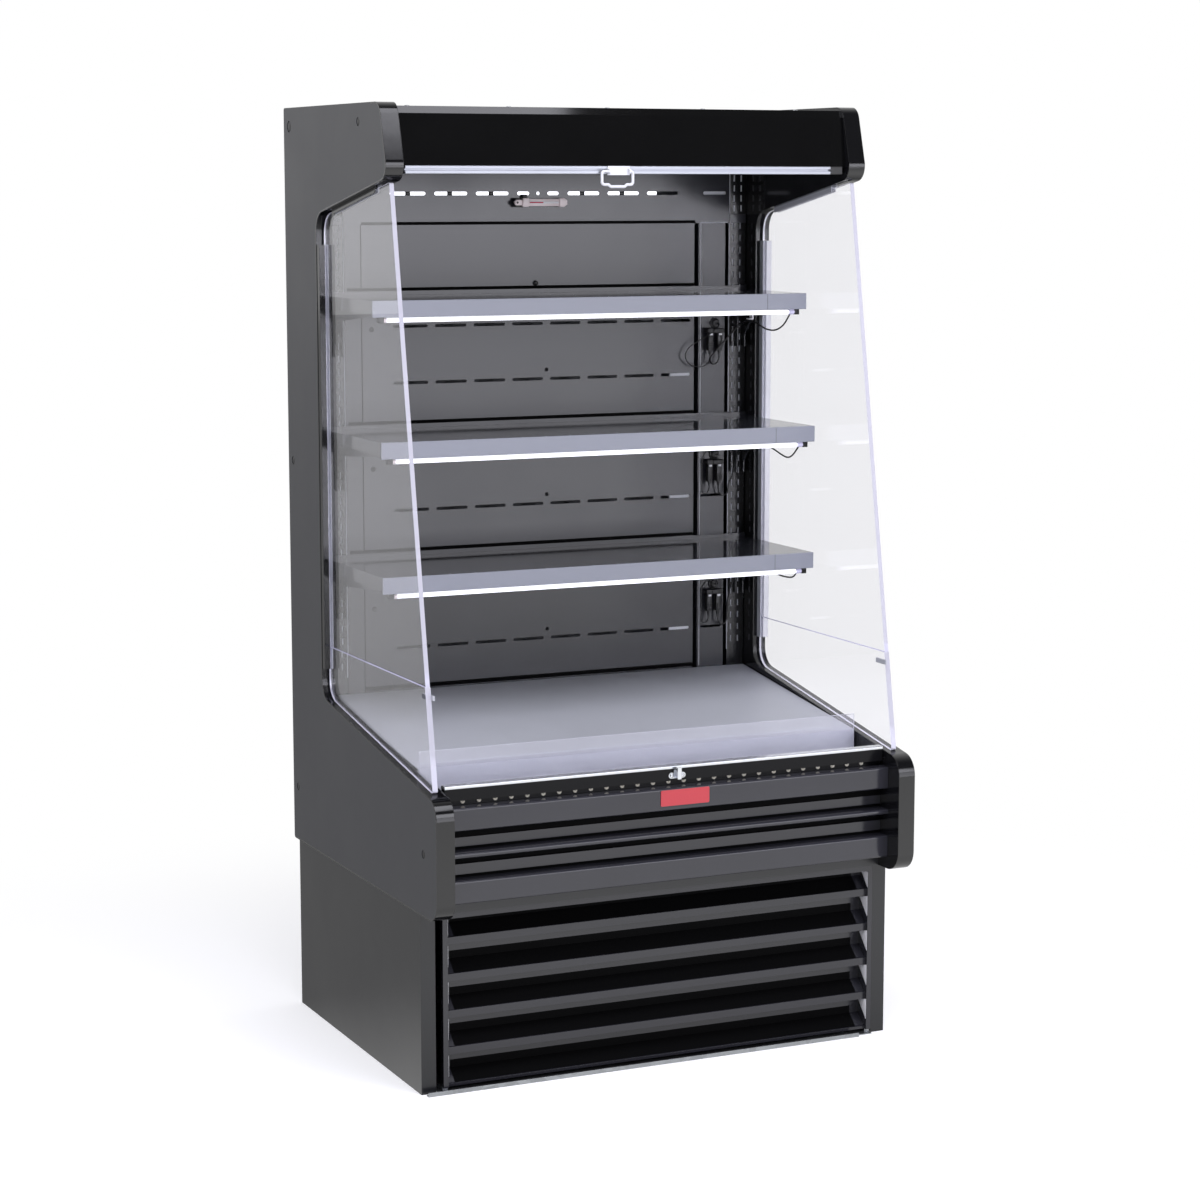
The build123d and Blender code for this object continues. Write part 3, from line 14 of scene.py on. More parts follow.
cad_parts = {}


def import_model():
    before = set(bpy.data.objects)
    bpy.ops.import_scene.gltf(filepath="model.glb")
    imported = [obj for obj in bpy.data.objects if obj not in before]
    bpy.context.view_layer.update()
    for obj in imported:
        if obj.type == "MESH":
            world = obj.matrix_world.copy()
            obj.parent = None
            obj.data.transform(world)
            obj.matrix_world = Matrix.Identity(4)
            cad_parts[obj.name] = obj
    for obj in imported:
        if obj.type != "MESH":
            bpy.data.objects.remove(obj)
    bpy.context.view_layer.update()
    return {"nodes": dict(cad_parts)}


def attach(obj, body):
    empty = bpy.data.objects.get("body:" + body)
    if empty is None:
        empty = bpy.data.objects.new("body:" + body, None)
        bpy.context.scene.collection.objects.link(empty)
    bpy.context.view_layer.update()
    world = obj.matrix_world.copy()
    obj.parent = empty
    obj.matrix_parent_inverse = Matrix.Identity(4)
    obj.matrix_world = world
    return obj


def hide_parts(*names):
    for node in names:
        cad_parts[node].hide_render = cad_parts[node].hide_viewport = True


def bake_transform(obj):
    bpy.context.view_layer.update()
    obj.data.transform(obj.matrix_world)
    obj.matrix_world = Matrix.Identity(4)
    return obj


LOG = logging.getLogger("display_cooler")
MM = 0.001
SMOOTH_ANGLE = math.radians(40)
BEVEL_ANGLE = math.radians(35)
# Scale at which a wave texture has one band to the metre
ONE_BAND = 6.283

Point = tuple[float, float, float]
Section = Sequence[tuple[float, float]]
Socket = bpy.types.NodeSocket
Tree = bpy.types.NodeTree
Piece = bpy.types.Object


# Colour and node basics

def linear(code: str) -> tuple[float, float, float, float]:
    """Turns an sRGB hex colour into linear values.

    Args:
        code: colour such as "#55565a".

    Returns:
        Red, green, blue and an alpha of 1.
    """
    parts = [int(code[i:i + 2], 16) / 255 for i in (1, 3, 5)]
    low = [c / 12.92 if c <= 0.04045 else ((c + 0.055) / 1.055) ** 2.4 for c in parts]
    return (low[0], low[1], low[2], 1.0)


def add(tree: Tree, kind: str, feeds: dict | None = None, **settings: object) -> bpy.types.Node:
    """Adds a node with its settings and its links or values.

    Args:
        tree: node tree that gets the node.
        kind: class name of the node.
        feeds: input name or number to a socket to link, or to a plain value.
        settings: attributes of the node.

    Returns:
        The new node.
    """
    made = tree.nodes.new(kind)
    for key, value in settings.items():
        setattr(made, key, value)
    for key, value in (feeds or {}).items():
        if isinstance(value, bpy.types.NodeSocket):
            tree.links.new(value, made.inputs[key])
        else:
            made.inputs[key].default_value = value
    return made


def new_material(name: str) -> tuple[bpy.types.Material, Tree]:
    """Makes an empty node material.

    Args:
        name: material name.

    Returns:
        The material and its cleared node tree.
    """
    material = bpy.data.materials.new(name)
    material.use_nodes = True
    material.node_tree.nodes.clear()
    return material, material.node_tree


# Kinds of finish

class Surface:
    """What every kind of finish shares."""

    name: str

    def surface(self, tree: Tree) -> Socket:
        """Builds the shader in a tree; each kind has its own."""
        raise NotImplementedError

    def material(self) -> bpy.types.Material:
        """Gives the material, made once.

        Returns:
            The material of this finish.
        """
        found = bpy.data.materials.get(self.name)
        if found:
            return found
        material, tree = new_material(self.name)
        add(tree, "ShaderNodeOutputMaterial", {0: self.surface(tree)})
        return material


class Grain(Enum):
    """How a surface was made, which gives its relief."""

    ORANGE_PEEL = "powder coat"
    MOULDED = "moulded"
    BRUSHED = "drawn along X"
    SPANGLE = "zinc crystals"
    POLISHED = "polished"
    WOVEN = "woven"


@dataclass(frozen=True)
class Finish(Surface):
    """One real surface: its colour, gloss, relief, the dust that breaks it up, and where asked a highlight
    painted along its edges.
    """

    name: str
    colour: str
    roughness: float
    grain: Grain
    grain_mm: float = 2.0
    relief_mm: float = 0.02
    mottle: float = 0.08
    metallic: float = 0.0
    ior: float = 1.5
    coat: float = 0.0
    edge_mm: float = 0.5
    # Strength of a highlight painted along the edges
    edge_highlight: float = 0.0
    clouds_per_m: float = 5.0
    smoother: float = 0.05
    rougher: float = 0.07
    # Colour of the highlight painted along the edges
    edge_highlight_colour: str = "#c9cad2"

    def relief(self, tree: Tree, place: Socket) -> Socket | None:
        """Height pattern of the grain.

        Args:
            tree: material tree.
            place: object coordinates.

        Returns:
            The height socket, or None where the surface is polished.
        """
        scale = 1000 / self.grain_mm
        if self.grain is Grain.POLISHED:
            return None
        if self.grain is Grain.BRUSHED:
            stretched = add(tree, "ShaderNodeMapping", {"Vector": place, "Scale": (4.0, scale, scale)})
            lines = add(
                tree, "ShaderNodeTexNoise", {"Vector": stretched.outputs[0], "Scale": 1.0, "Detail": 3.0})
            return lines.outputs["Fac"]
        if self.grain is Grain.SPANGLE:
            cells = add(tree, "ShaderNodeTexVoronoi", {"Vector": place, "Scale": scale})
            return add(tree, "ShaderNodeSeparateColor", {0: cells.outputs["Color"]}).outputs[0]
        if self.grain is Grain.WOVEN:
            threads = [add(tree, "ShaderNodeTexWave", {"Vector": place, "Scale": scale / ONE_BAND},
                           bands_direction=axis).outputs["Fac"]
                       for axis in "XZ"]
            return add(
                tree, "ShaderNodeMath", {0: threads[0], 1: threads[1]}, operation="MAXIMUM").outputs[0]
        detail = 1.0 if self.grain is Grain.ORANGE_PEEL else 5.0
        return add(
            tree, "ShaderNodeTexNoise", {"Vector": place, "Scale": scale, "Detail": detail}).outputs["Fac"]

    def surface(self, tree: Tree) -> Socket:
        """Builds the shader of this finish in a tree.

        Args:
            tree: material tree.

        Returns:
            The shader's output socket.
        """
        place = add(tree, "ShaderNodeTexCoord").outputs["Object"]
        height = self.relief(tree, place)
        cloud = add(
            tree, "ShaderNodeTexNoise",
            {"Vector": place, "Scale": self.clouds_per_m, "Detail": 6.0, "Roughness": 0.62}).outputs["Fac"]
        channels = linear(self.colour)[:3]
        spread = self.mottle * 2
        low = tuple(max(c * (1 - spread), 0.0) for c in channels) + (1.0,)
        high = tuple(min(c * (1 + spread), 1.0) for c in channels) + (1.0,)
        shade = cloud
        if self.grain is Grain.SPANGLE:
            shade = add(tree, "ShaderNodeMath", {0: cloud, 1: height}, operation="MULTIPLY").outputs[0]
        colour = add(tree, "ShaderNodeMix", {"Factor": shade, 6: low, 7: high}, data_type="RGBA").outputs[2]
        eased = add(tree, "ShaderNodeBevel", {"Radius": self.edge_mm * MM}, samples=4).outputs[0]
        # Painted highlight: the colour turns lighter along the edges, where the rounded normal leans away
        # from the flat one
        if self.edge_highlight:
            flat = add(tree, "ShaderNodeNewGeometry").outputs["Normal"]
            turn = add(
                tree, "ShaderNodeVectorMath", {0: eased, 1: flat}, operation="DOT_PRODUCT").outputs["Value"]
            highlit_edges = add(
                tree, "ShaderNodeMapRange", {"Value": turn, 1: 0.99, 2: 0.8, 3: 0.0, 4: self.edge_highlight})
            colour = add(tree, "ShaderNodeMix",
                         {"Factor": highlit_edges.outputs[0], 6: colour, 7: linear(self.edge_highlight_colour)},
                         data_type="RGBA").outputs[2]
        rough = add(
            tree, "ShaderNodeMapRange",
            {"Value": cloud, 3: max(self.roughness - self.smoother, 0.02),
             4: min(self.roughness + self.rougher, 1.0)})
        feeds = {"Base Color": colour, "Roughness": rough.outputs[0], "Metallic": self.metallic,
                 "Coat Weight": self.coat, "Coat Roughness": 0.04, "Normal": eased}
        if not self.metallic:
            feeds["IOR"] = self.ior
        if height is not None:
            feeds["Normal"] = add(tree, "ShaderNodeBump",
                                  {"Height": height, "Strength": 0.6, "Normal": eased,
                                   "Distance": self.relief_mm * MM}).outputs[0]
        return add(tree, "ShaderNodeBsdfPrincipled", feeds).outputs[0]


@dataclass(frozen=True)
class TwoFinishes(Surface):
    """A node of pieces with a finish each, told apart by where they lie along one axis."""

    name: str
    below: Surface
    above: Surface
    axis: str
    limit: float

    def surface(self, tree: Tree) -> Socket:
        """Builds both shaders in a tree and chooses between them by place.

        Args:
            tree: material tree.

        Returns:
            The shader's output socket.
        """
        place = add(tree, "ShaderNodeTexCoord").outputs["Object"]
        along = add(tree, "ShaderNodeSeparateXYZ", {0: place}).outputs[self.axis]
        past = add(tree, "ShaderNodeMath", {0: along, 1: self.limit}, operation="GREATER_THAN").outputs[0]
        return add(tree, "ShaderNodeMixShader",
                   {0: past, 1: self.below.surface(tree), 2: self.above.surface(tree)}).outputs[0]


@dataclass(frozen=True)
class Louvred(Surface):
    """Pressed grille: satin lips and stiles, and black painted as the shade in the throat above each lip."""

    name: str
    lip: Finish
    # Black painted as the shade in each throat
    throat_shade: Finish
    first: float = 0.0138
    pitch: float = 0.0694
    throat_share: float = 0.52
    between: tuple[float, float] = (-0.422, 0.43)

    def surface(self, tree: Tree) -> Socket:
        """Builds both shaders in a tree and chooses between them by height within each pitch.

        Args:
            tree: material tree.

        Returns:
            The shader's output socket.
        """
        place = add(tree, "ShaderNodeTexCoord").outputs["Object"]
        split = add(tree, "ShaderNodeSeparateXYZ", {0: place})
        risen = add(tree, "ShaderNodeMath", {0: split.outputs["Z"], 1: self.first}, operation="SUBTRACT")
        turns = add(tree, "ShaderNodeMath", {0: risen.outputs[0], 1: self.pitch}, operation="DIVIDE")
        phase = add(tree, "ShaderNodeMath", {0: turns.outputs[0]}, operation="FRACT").outputs[0]
        # Painted shade: between the stiles, the throat band of each pitch takes the black finish
        half = self.throat_share / 2
        deep = add(tree, "ShaderNodeMath", {0: phase, 1: half + 0.01, 2: half}, operation="COMPARE")
        centre = sum(self.between) / 2
        inside = add(tree, "ShaderNodeMath", {0: split.outputs["X"], 1: centre, 2: self.between[1] - centre},
                     operation="COMPARE")
        both = add(tree, "ShaderNodeMath", {0: deep.outputs[0], 1: inside.outputs[0]}, operation="MULTIPLY")
        return add(tree, "ShaderNodeMixShader",
                   {0: both.outputs[0], 1: self.lip.surface(tree), 2: self.throat_shade.surface(tree)}).outputs[0]


@dataclass(frozen=True)
class ClearSheet(Surface):
    """Cast acrylic: clear faces with a little haze, and polished edges that gather light."""

    name: str
    tint: str
    haze: float
    across: str = "X"
    edge: str = "#d9d8e6"
    dust: str = "#dcdbe6"
    shadow: str = "#e8e8ee"
    ior: float = 1.36
    edge_share: float = 0.7

    def surface(self, tree: Tree) -> Socket:
        """Builds the shader in a tree.

        Args:
            tree: material tree.

        Returns:
            The shader's output socket.
        """
        place = add(tree, "ShaderNodeTexCoord").outputs["Object"]
        clear = add(tree, "ShaderNodeBsdfPrincipled",
                    {"Base Color": linear(self.tint), "Roughness": 0.0, "IOR": self.ior,
                     "Transmission Weight": 1.0}).outputs[0]
        smears = add(tree, "ShaderNodeTexNoise",
                     {"Vector": place, "Scale": 7.0, "Detail": 8.0, "Distortion": 0.6}).outputs["Fac"]
        haze = add(tree, "ShaderNodeMapRange", {"Value": smears, 3: self.haze * 0.5, 4: self.haze * 1.5})
        dust = add(tree, "ShaderNodeBsdfDiffuse", {"Color": linear(self.dust)})
        faces = add(tree, "ShaderNodeMixShader", {0: haze.outputs[0], 1: clear, 2: dust.outputs[0]})
        polished = add(tree, "ShaderNodeBsdfDiffuse", {"Color": linear(self.edge)})
        edges = add(tree, "ShaderNodeMixShader", {0: self.edge_share, 1: clear, 2: polished.outputs[0]})
        normal = add(tree, "ShaderNodeNewGeometry").outputs["True Normal"]
        split = add(tree, "ShaderNodeSeparateXYZ", {0: normal})
        widest = add(
            tree, "ShaderNodeMath", {0: split.outputs[self.across]}, operation="ABSOLUTE").outputs[0]
        is_edge = add(tree, "ShaderNodeMath", {0: widest, 1: 0.5}, operation="LESS_THAN").outputs[0]
        body = add(tree, "ShaderNodeMixShader", {0: is_edge, 1: faces.outputs[0], 2: edges.outputs[0]})
        in_shadow = add(tree, "ShaderNodeLightPath").outputs["Is Shadow Ray"]
        through = add(tree, "ShaderNodeBsdfTransparent", {"Color": linear(self.shadow)})
        return add(tree, "ShaderNodeMixShader",
                   {0: in_shadow, 1: body.outputs[0], 2: through.outputs[0]}).outputs[0]


@dataclass(frozen=True)
class Glow(Surface):
    """Opal lamp plastic that gives light, and less of it to mirror images."""

    name: str
    colour: str
    strength: float
    dim_in_gloss: float = 0.75

    def surface(self, tree: Tree) -> Socket:
        """Builds the shader in a tree.

        Args:
            tree: material tree.

        Returns:
            The shader's output socket.
        """
        place = add(tree, "ShaderNodeTexCoord").outputs["Object"]
        cloud = add(tree, "ShaderNodeTexNoise", {"Vector": place, "Scale": 60.0}).outputs["Fac"]
        level = add(tree, "ShaderNodeMapRange",
                    {"Value": cloud, 3: self.strength * 0.92, 4: self.strength * 1.08}).outputs[0]
        bounces = add(tree, "ShaderNodeLightPath").outputs["Glossy Depth"]
        mirrored = add(tree, "ShaderNodeMath", {0: bounces, 1: 1.0}, operation="MINIMUM").outputs[0]
        dimmed = add(tree, "ShaderNodeMath", {0: mirrored, 1: -self.dim_in_gloss, 2: 1.0},
                     operation="MULTIPLY_ADD").outputs[0]
        given = add(tree, "ShaderNodeMath", {0: level, 1: dimmed}, operation="MULTIPLY").outputs[0]
        return add(tree, "ShaderNodeBsdfPrincipled",
                   {"Base Color": linear(self.colour), "Roughness": 0.35,
                    "Emission Color": linear(self.colour), "Emission Strength": given}).outputs[0]


# Finishes of this cooler

# Powder coats have a shallow orange peel of a few millimetres that softens whatever they mirror
# Liner: charcoal that mirrors the room in broad soft tones
LINER = Finish(
    "powder coated liner steel, gloss charcoal", "#2c2d32", 0.2, Grain.ORANGE_PEEL, 3.0, 0.012, 0.05)
# Shelf tray: near black, glossy enough to mirror the back wall
SHELF_BLACK = Finish(
    "powder coated shelf tray, gloss black", "#232428", 0.1, Grain.ORANGE_PEEL, 3.0, 0.006, 0.05)
# Price rail: even light grey with a soft sheen along its length
RAIL_GREY = Finish(
    "powder coated price rail, light grey", "#7c7f8b", 0.3, Grain.ORANGE_PEEL, 3.0, 0.012, 0.02)
# Deck: pale satin grey that takes the light evenly
DECK_GREY = Finish("powder coated deck, light grey", "#a4a6ad", 0.45, Grain.ORANGE_PEEL, 3.0, 0.02, 0.05)
# Brackets and machinery: black, with a highlight painted along the edges
DARK_STEEL = Finish(
    "powder coated steel, black", "#222326", 0.25, Grain.ORANGE_PEEL, 3.0, 0.02, 0.06, edge_highlight=0.55)
# Uprights: deeper black, with a highlight painted along the edges round the slots
UPRIGHT_STEEL = Finish(
    "powder coated upright, black", "#121315", 0.2, Grain.ORANGE_PEEL, 2.5, 0.02, 0.08, edge_highlight=0.6)
# Painted shade: black that gives nothing back, put where shade falls in gaps, louvre throats and the
# bumper's recesses
SHADE_BLACK = Finish("painted shade, dead black", "#040405", 0.7, Grain.MOULDED, 1.2, 0.02, 0.1, ior=1.15)
# Base panels: black that greys where it mirrors the pale floor
BASE_STEEL = Finish("powder coated base steel, black", "#15161a", 0.3, Grain.ORANGE_PEEL, 3.0, 0.02, 0.05)
# Louvre lips: a little lighter, so that they stand out from the black painted as shade in the throats
LOUVRE_STEEL = Finish(
    "powder coated louvre steel, black", "#25252b", 0.2, Grain.ORANGE_PEEL, 3.0, 0.015, 0.06)
# Nose: gloss black behind the row of warm white rings painted as specks of light
NOSE_BLACK = Finish(
    "powder coated nose, gloss black", "#0e0e11", 0.16, Grain.ORANGE_PEEL, 3.0, 0.012, 0.06, ior=1.25)
# Foam panel skins: plain painted grey, unseen from the front
INSULATED = Finish("foam panel skin, grey", "#6b6d72", 0.5, Grain.ORANGE_PEEL, 4.0, 0.03, 0.05)
# Painted light: pale grey strips behind slots, so that the slots read as light dashes, and thin strips
# painted as highlights along edges
PAINTED_LIGHT_GREY = Finish("pale grey painted as light in slots and along edges", "#c4c6cc", 0.5, Grain.ORANGE_PEEL, 3.0, 0.02, 0.06)

# Laminates: a fine pressed grain outside gives a broad sheen; the gloss inside shows only slight waves
LAMINATE = Finish("pressed laminate, charcoal", "#303136", 0.4, Grain.MOULDED, 1.6, 0.03, 0.05)
INNER_GLOSS = Finish(
    "gloss laminate of the end panels' inner faces, black", "#141417", 0.1, Grain.MOULDED, 60.0, 0.02, 0.1)

# Plastics: gloss panels and trims mirror the room, with long waves in the image and a little dust
GLOSS_BLACK = Finish("gloss acrylic capped panel, black", "#0a0a0b", 0.06, Grain.MOULDED, 60.0, 0.05, 0.2)
TRIM_BLACK = Finish(
    "extruded gloss vinyl trim, black", "#0e0e10", 0.1, Grain.MOULDED, 40.0, 0.08, 0.2, edge_mm=1.5)
BUMPER_BLACK = Finish("extruded vinyl bumper, black", "#2a2a31", 0.13, Grain.MOULDED, 40.0, 0.06, 0.1)
# Moulded parts: the tool's fine spark texture takes the shine off
MOULDED_BLACK = Finish("moulded ABS, black", "#101012", 0.4, Grain.MOULDED, 1.2, 0.04, 0.1)
MOULDED_GREY = Finish("moulded ABS, light grey", "#b4b6be", 0.35, Grain.MOULDED, 1.2, 0.03, 0.05)
MOULDED_WHITE = Finish("moulded nylon, white", "#e6e6ea", 0.42, Grain.MOULDED, 1.2, 0.03, 0.04)
MOULDED_BLUSH = Finish("moulded styrene, warm white", "#ecdfe0", 0.35, Grain.MOULDED, 1.2, 0.03, 0.04)
# Lamp cap: milky, faintly violet beside the lit tube
LAVENDER_CAP = Finish("moulded polycarbonate cap, milky", "#c9c6e0", 0.3, Grain.MOULDED, 1.2, 0.03, 0.04)
# Cable jacket: dull black with a faint drawn texture
CABLE = Finish("PVC cable jacket, black", "#0e0e10", 0.36, Grain.MOULDED, 1.0, 0.05, 0.15)

# Metals: zinc shows its crystals, drawn and rolled metal shows lines along its length
GALVANISED = Finish("hot dip galvanised steel", "#a3a6aa", 0.4, Grain.SPANGLE, 14.0, 0.01, 0.12, 1.0)
MILL_ALUMINIUM = Finish("mill finish aluminium", "#b9bbc0", 0.3, Grain.BRUSHED, 0.8, 0.01, 0.05, 1.0)
BAR_ALUMINIUM = Finish(
    "anodised aluminium extrusion, silver", "#a8abb4", 0.45, Grain.BRUSHED, 0.8, 0.01, 0.03, 1.0)
BRIGHT_STEEL = Finish("polished stainless steel", "#c9cbd0", 0.14, Grain.BRUSHED, 0.8, 0.01, 0.05, 1.0)
COPPER = Finish("drawn copper tube", "#b87850", 0.3, Grain.BRUSHED, 1.5, 0.01, 0.15, 1.0)
# Coated fins: dull black behind the louvres
COIL_BLACK = Finish("black coated coil fins", "#17181a", 0.45, Grain.BRUSHED, 0.8, 0.01, 0.1, ior=1.3)

# Small bright parts: smooth lacquers and dips that catch a highlight
# Warm white rings in the nose's holes, painted as the specks of light there
HOLE_LIGHT = Finish("warm white painted as light in the nose's holes", "#fff2e2", 0.25, Grain.POLISHED, mottle=0.08, coat=0.6)
WHITE_WIRE = Finish("epoxy dipped wire, white", "#dcdde4", 0.3, Grain.ORANGE_PEEL, 2.0, 0.03, 0.04)
BADGE_RED = Finish("printed plate, red", "#b80c28", 0.3, Grain.POLISHED, mottle=0.06, coat=0.6)
SPIRIT_RED = Finish("dyed spirit column, red", "#d0485c", 0.2, Grain.POLISHED, mottle=0.06, coat=0.5)

# Woven things: the threads are drawn coarser than real so that they show
COVER_CLOTH = Finish("vinyl coated polyester scrim, charcoal", "#2d2e31", 0.6, Grain.WOVEN, 1.1, 0.25, 0.1)
DUST_SCREEN = Finish("woven dust screen, black", "#0c0c0d", 0.7, Grain.WOVEN, 1.6, 0.3, 0.1, ior=1.3)

# Clear sheets: a trace of haze on the wings, more on the handled stop
CLEAR_WING = ClearSheet("cast acrylic, clear", "#fcfcff", 0.012)
CLEAR_STOP = ClearSheet("cast acrylic stop, clear", "#fcfcff", 0.1, "Y")
# Lamps: cool white; the canopy's is brighter, because it is seen only through slots
SHELF_LAMP = Glow("opal polycarbonate tube, lit", "#f7f8ff", 1.1)
CANOPY_LAMP = Glow("opal canopy tube, lit", "#f7f8ff", 2.0)

# Nodes whose pieces differ in finish, parted at a place along an axis
BAR_FINISHES = TwoFinishes("pull bar and its end fitting", BAR_ALUMINIUM, MOULDED_BLACK, "X", 0.426)
LEFT_END = TwoFinishes(
    "left end panel, laminate outside and gloss inside", LAMINATE, INNER_GLOSS, "X", -0.4605)
RIGHT_END = TwoFinishes(
    "right end panel, gloss inside and laminate outside", INNER_GLOSS, LAMINATE, "X", 0.4605)
GRILLE = Louvred("grille of satin lips and painted shade in the throats", LOUVRE_STEEL, SHADE_BLACK)
# Bumper: the backing behind the bands is black, painted as the shade in the recesses between them
BUMPER_BAND = TwoFinishes("bumper bands in front of a backing painted as shade", BUMPER_BLACK, SHADE_BLACK, "Y", -0.3218)
INNER_CHANNELS = TwoFinishes("inner part of the channels", MOULDED_GREY, MOULDED_WHITE, "X", 0.4795)
CHANNEL_PAIR = TwoFinishes(
    "wing channels, black outside at the left", TRIM_BLACK, INNER_CHANNELS, "X", -0.478)
RAIL_THICK = 0.00245

# Top and front of each shelf, and depth and height of its lead clip
SHELF_PLACES = (
    (1.445, -0.01, (0.196, 1.383)), (1.183, -0.05, (0.182, 1.132)), (0.9286, -0.05, (0.162, 0.8786)))

NODES_BY_FINISH: list[tuple[Surface, str]] = [
    (LEFT_END, "end_panel_left"),
    (RIGHT_END, "end_panel_right"),
    (TRIM_BLACK, "edge_trims"),
    (GLOSS_BLACK, "header_panel"),
    (INSULATED, "roof_panel rear_wall"),
    (LINER, "ceiling_panel back_panel back_side_panels"),
    (UPRIGHT_STEEL, "shelf_uprights"),
    (BASE_STEEL, "insulated_tub base_side_panels"),
    (NOSE_BLACK, "deck_nose"),
    (DECK_GREY, "deck_pan"),
    (CLEAR_STOP, "front_stop"),
    (CLEAR_WING, "clear_side_panels"),
    (CHANNEL_PAIR, "panel_channels"),
    (COVER_CLOTH, "night_cover_roller night_cover_cloth"),
    (BAR_FINISHES, "pull_bar"),
    (WHITE_WIRE, "handle_clip pull_handle"),
    (BRIGHT_STEEL, "nose_strip night_cover_catch"),
    (BUMPER_BAND, "bumper_rail"),
    (BUMPER_BLACK, "bumper_ribs"),
    (BADGE_RED, "badge_plate"),
    (CABLE, "harness_loops"),
    (MOULDED_WHITE, "thermometer"),
    (MILL_ALUMINIUM, "evaporator_coil"),
    (MOULDED_BLACK, "honeycomb_grille lamp_connectors evaporator_fan_left evaporator_fan_right"),
    (MOULDED_BLACK, "condenser_fan condensate_pan screws_and_caps"),
    (GALVANISED, "night_cover_housing deck_ledges evaporator_plenum"),
    (GALVANISED, "electrical_box base_pan base_rear_panel"),
    (COIL_BLACK, "condenser_coil"),
    (DARK_STEEL, "condenser_shroud compressor"),
    (COPPER, "refrigerant_tubes"),
    (GRILLE, "louvre_panel"),
]
for number, (_, front, _) in enumerate(SHELF_PLACES, 1):
    pan = TwoFinishes(
        f"shelf {number}, grey rail and black tray", RAIL_GREY, SHELF_BLACK, "Y", front + RAIL_THICK)
    NODES_BY_FINISH += [(pan, f"shelf_{number}_pan"), (DARK_STEEL, f"shelf_{number}_brackets"),
                        (SHELF_LAMP, f"shelf_{number}_lamp"), (CABLE, f"shelf_{number}_lead")]


# Modelling steps

def deselect() -> None:
    """Leaves nothing selected."""
    bpy.ops.object.select_all(action="DESELECT")


def settle(name: str) -> Piece:
    """Names the active object and moves its place into its mesh.

    Args:
        name: piece name.

    Returns:
        The object.
    """
    made = bpy.context.object
    made.name = made.data.name = name
    bpy.ops.object.transform_apply(location=True, rotation=True, scale=True)
    return made


def chosen(made: Piece) -> Piece:
    """Makes one object the only selected and active one.

    Args:
        made: the object.

    Returns:
        The object.
    """
    deselect()
    made.select_set(True)
    bpy.context.view_layer.objects.active = made
    return made


def apply_modifier(made: Piece, kind: str, **settings: object) -> Piece:
    """Adds a modifier and applies it.

    Args:
        made: object to change.
        kind: modifier type.
        settings: modifier attributes.

    Returns:
        The object.
    """
    chosen(made)
    modifier = made.modifiers.new(kind.title(), kind)
    for key, value in settings.items():
        setattr(modifier, key, value)
    bpy.ops.object.modifier_apply(modifier=modifier.name)
    return made


def rounded(made: Piece, width: float, segments: int = 2) -> Piece:
    """Rounds the sharp edges of a piece and smooths its shading.

    Args:
        made: the piece.
        width: radius of the edges.
        segments: faces across each edge.

    Returns:
        The piece.
    """
    apply_modifier(
        made, "BEVEL", width=width, segments=segments, limit_method="ANGLE", angle_limit=BEVEL_ANGLE)
    chosen(made)
    bpy.ops.object.shade_smooth_by_angle(angle=SMOOTH_ANGLE)
    return made


def block(name: str, low: Point, high: Point, edge: float = 0.0) -> Piece:
    """Box between two corners with rounded edges.

    Args:
        name: piece name.
        low: lowest corner.
        high: highest corner.
        edge: radius of the edges.

    Returns:
        The object.
    """
    deselect()
    middle = [(a + b) / 2 for a, b in zip(low, high)]
    bpy.ops.mesh.primitive_cube_add(size=1, location=middle, scale=[b - a for a, b in zip(low, high)])
    made = settle(name)
    return rounded(made, edge) if edge else made


def traced(name: str, points: Sequence[Point], close: bool) -> Piece:
    """Draws a line of edges by extruding a vertex from point to point.

    Args:
        name: piece name.
        points: the corners in order.
        close: fills the outline with a face.

    Returns:
        The object, left in object mode.
    """
    deselect()
    bpy.ops.mesh.primitive_plane_add(size=0.001, location=points[0])
    made = bpy.context.object
    bpy.ops.object.mode_set(mode="EDIT")
    bpy.ops.mesh.select_all(action="SELECT")
    bpy.ops.mesh.merge(type="CENTER")
    for before, after in zip(points, points[1:]):
        step = Vector(after) - Vector(before)
        bpy.ops.mesh.extrude_region_move(TRANSFORM_OT_translate={"value": step})
    if close:
        bpy.ops.mesh.select_all(action="SELECT")
        bpy.ops.mesh.edge_face_add()
    bpy.ops.object.mode_set(mode="OBJECT")
    return settle(name)


def pushed(name: str, points: Sequence[Point], reach: Point, edge: float = 0.0) -> Piece:
    """Closed outline pushed along a direction.

    Args:
        name: piece name.
        points: corners of the outline.
        reach: direction and length of the push.
        edge: radius of the edges.

    Returns:
        The object.
    """
    made = traced(name, points, True)
    bpy.ops.object.mode_set(mode="EDIT")
    bpy.ops.mesh.select_all(action="SELECT")
    bpy.ops.mesh.extrude_region_move(TRANSFORM_OT_translate={"value": reach})
    bpy.ops.mesh.select_all(action="SELECT")
    bpy.ops.mesh.normals_make_consistent(inside=False)
    bpy.ops.object.mode_set(mode="OBJECT")
    return rounded(made, edge) if edge else made


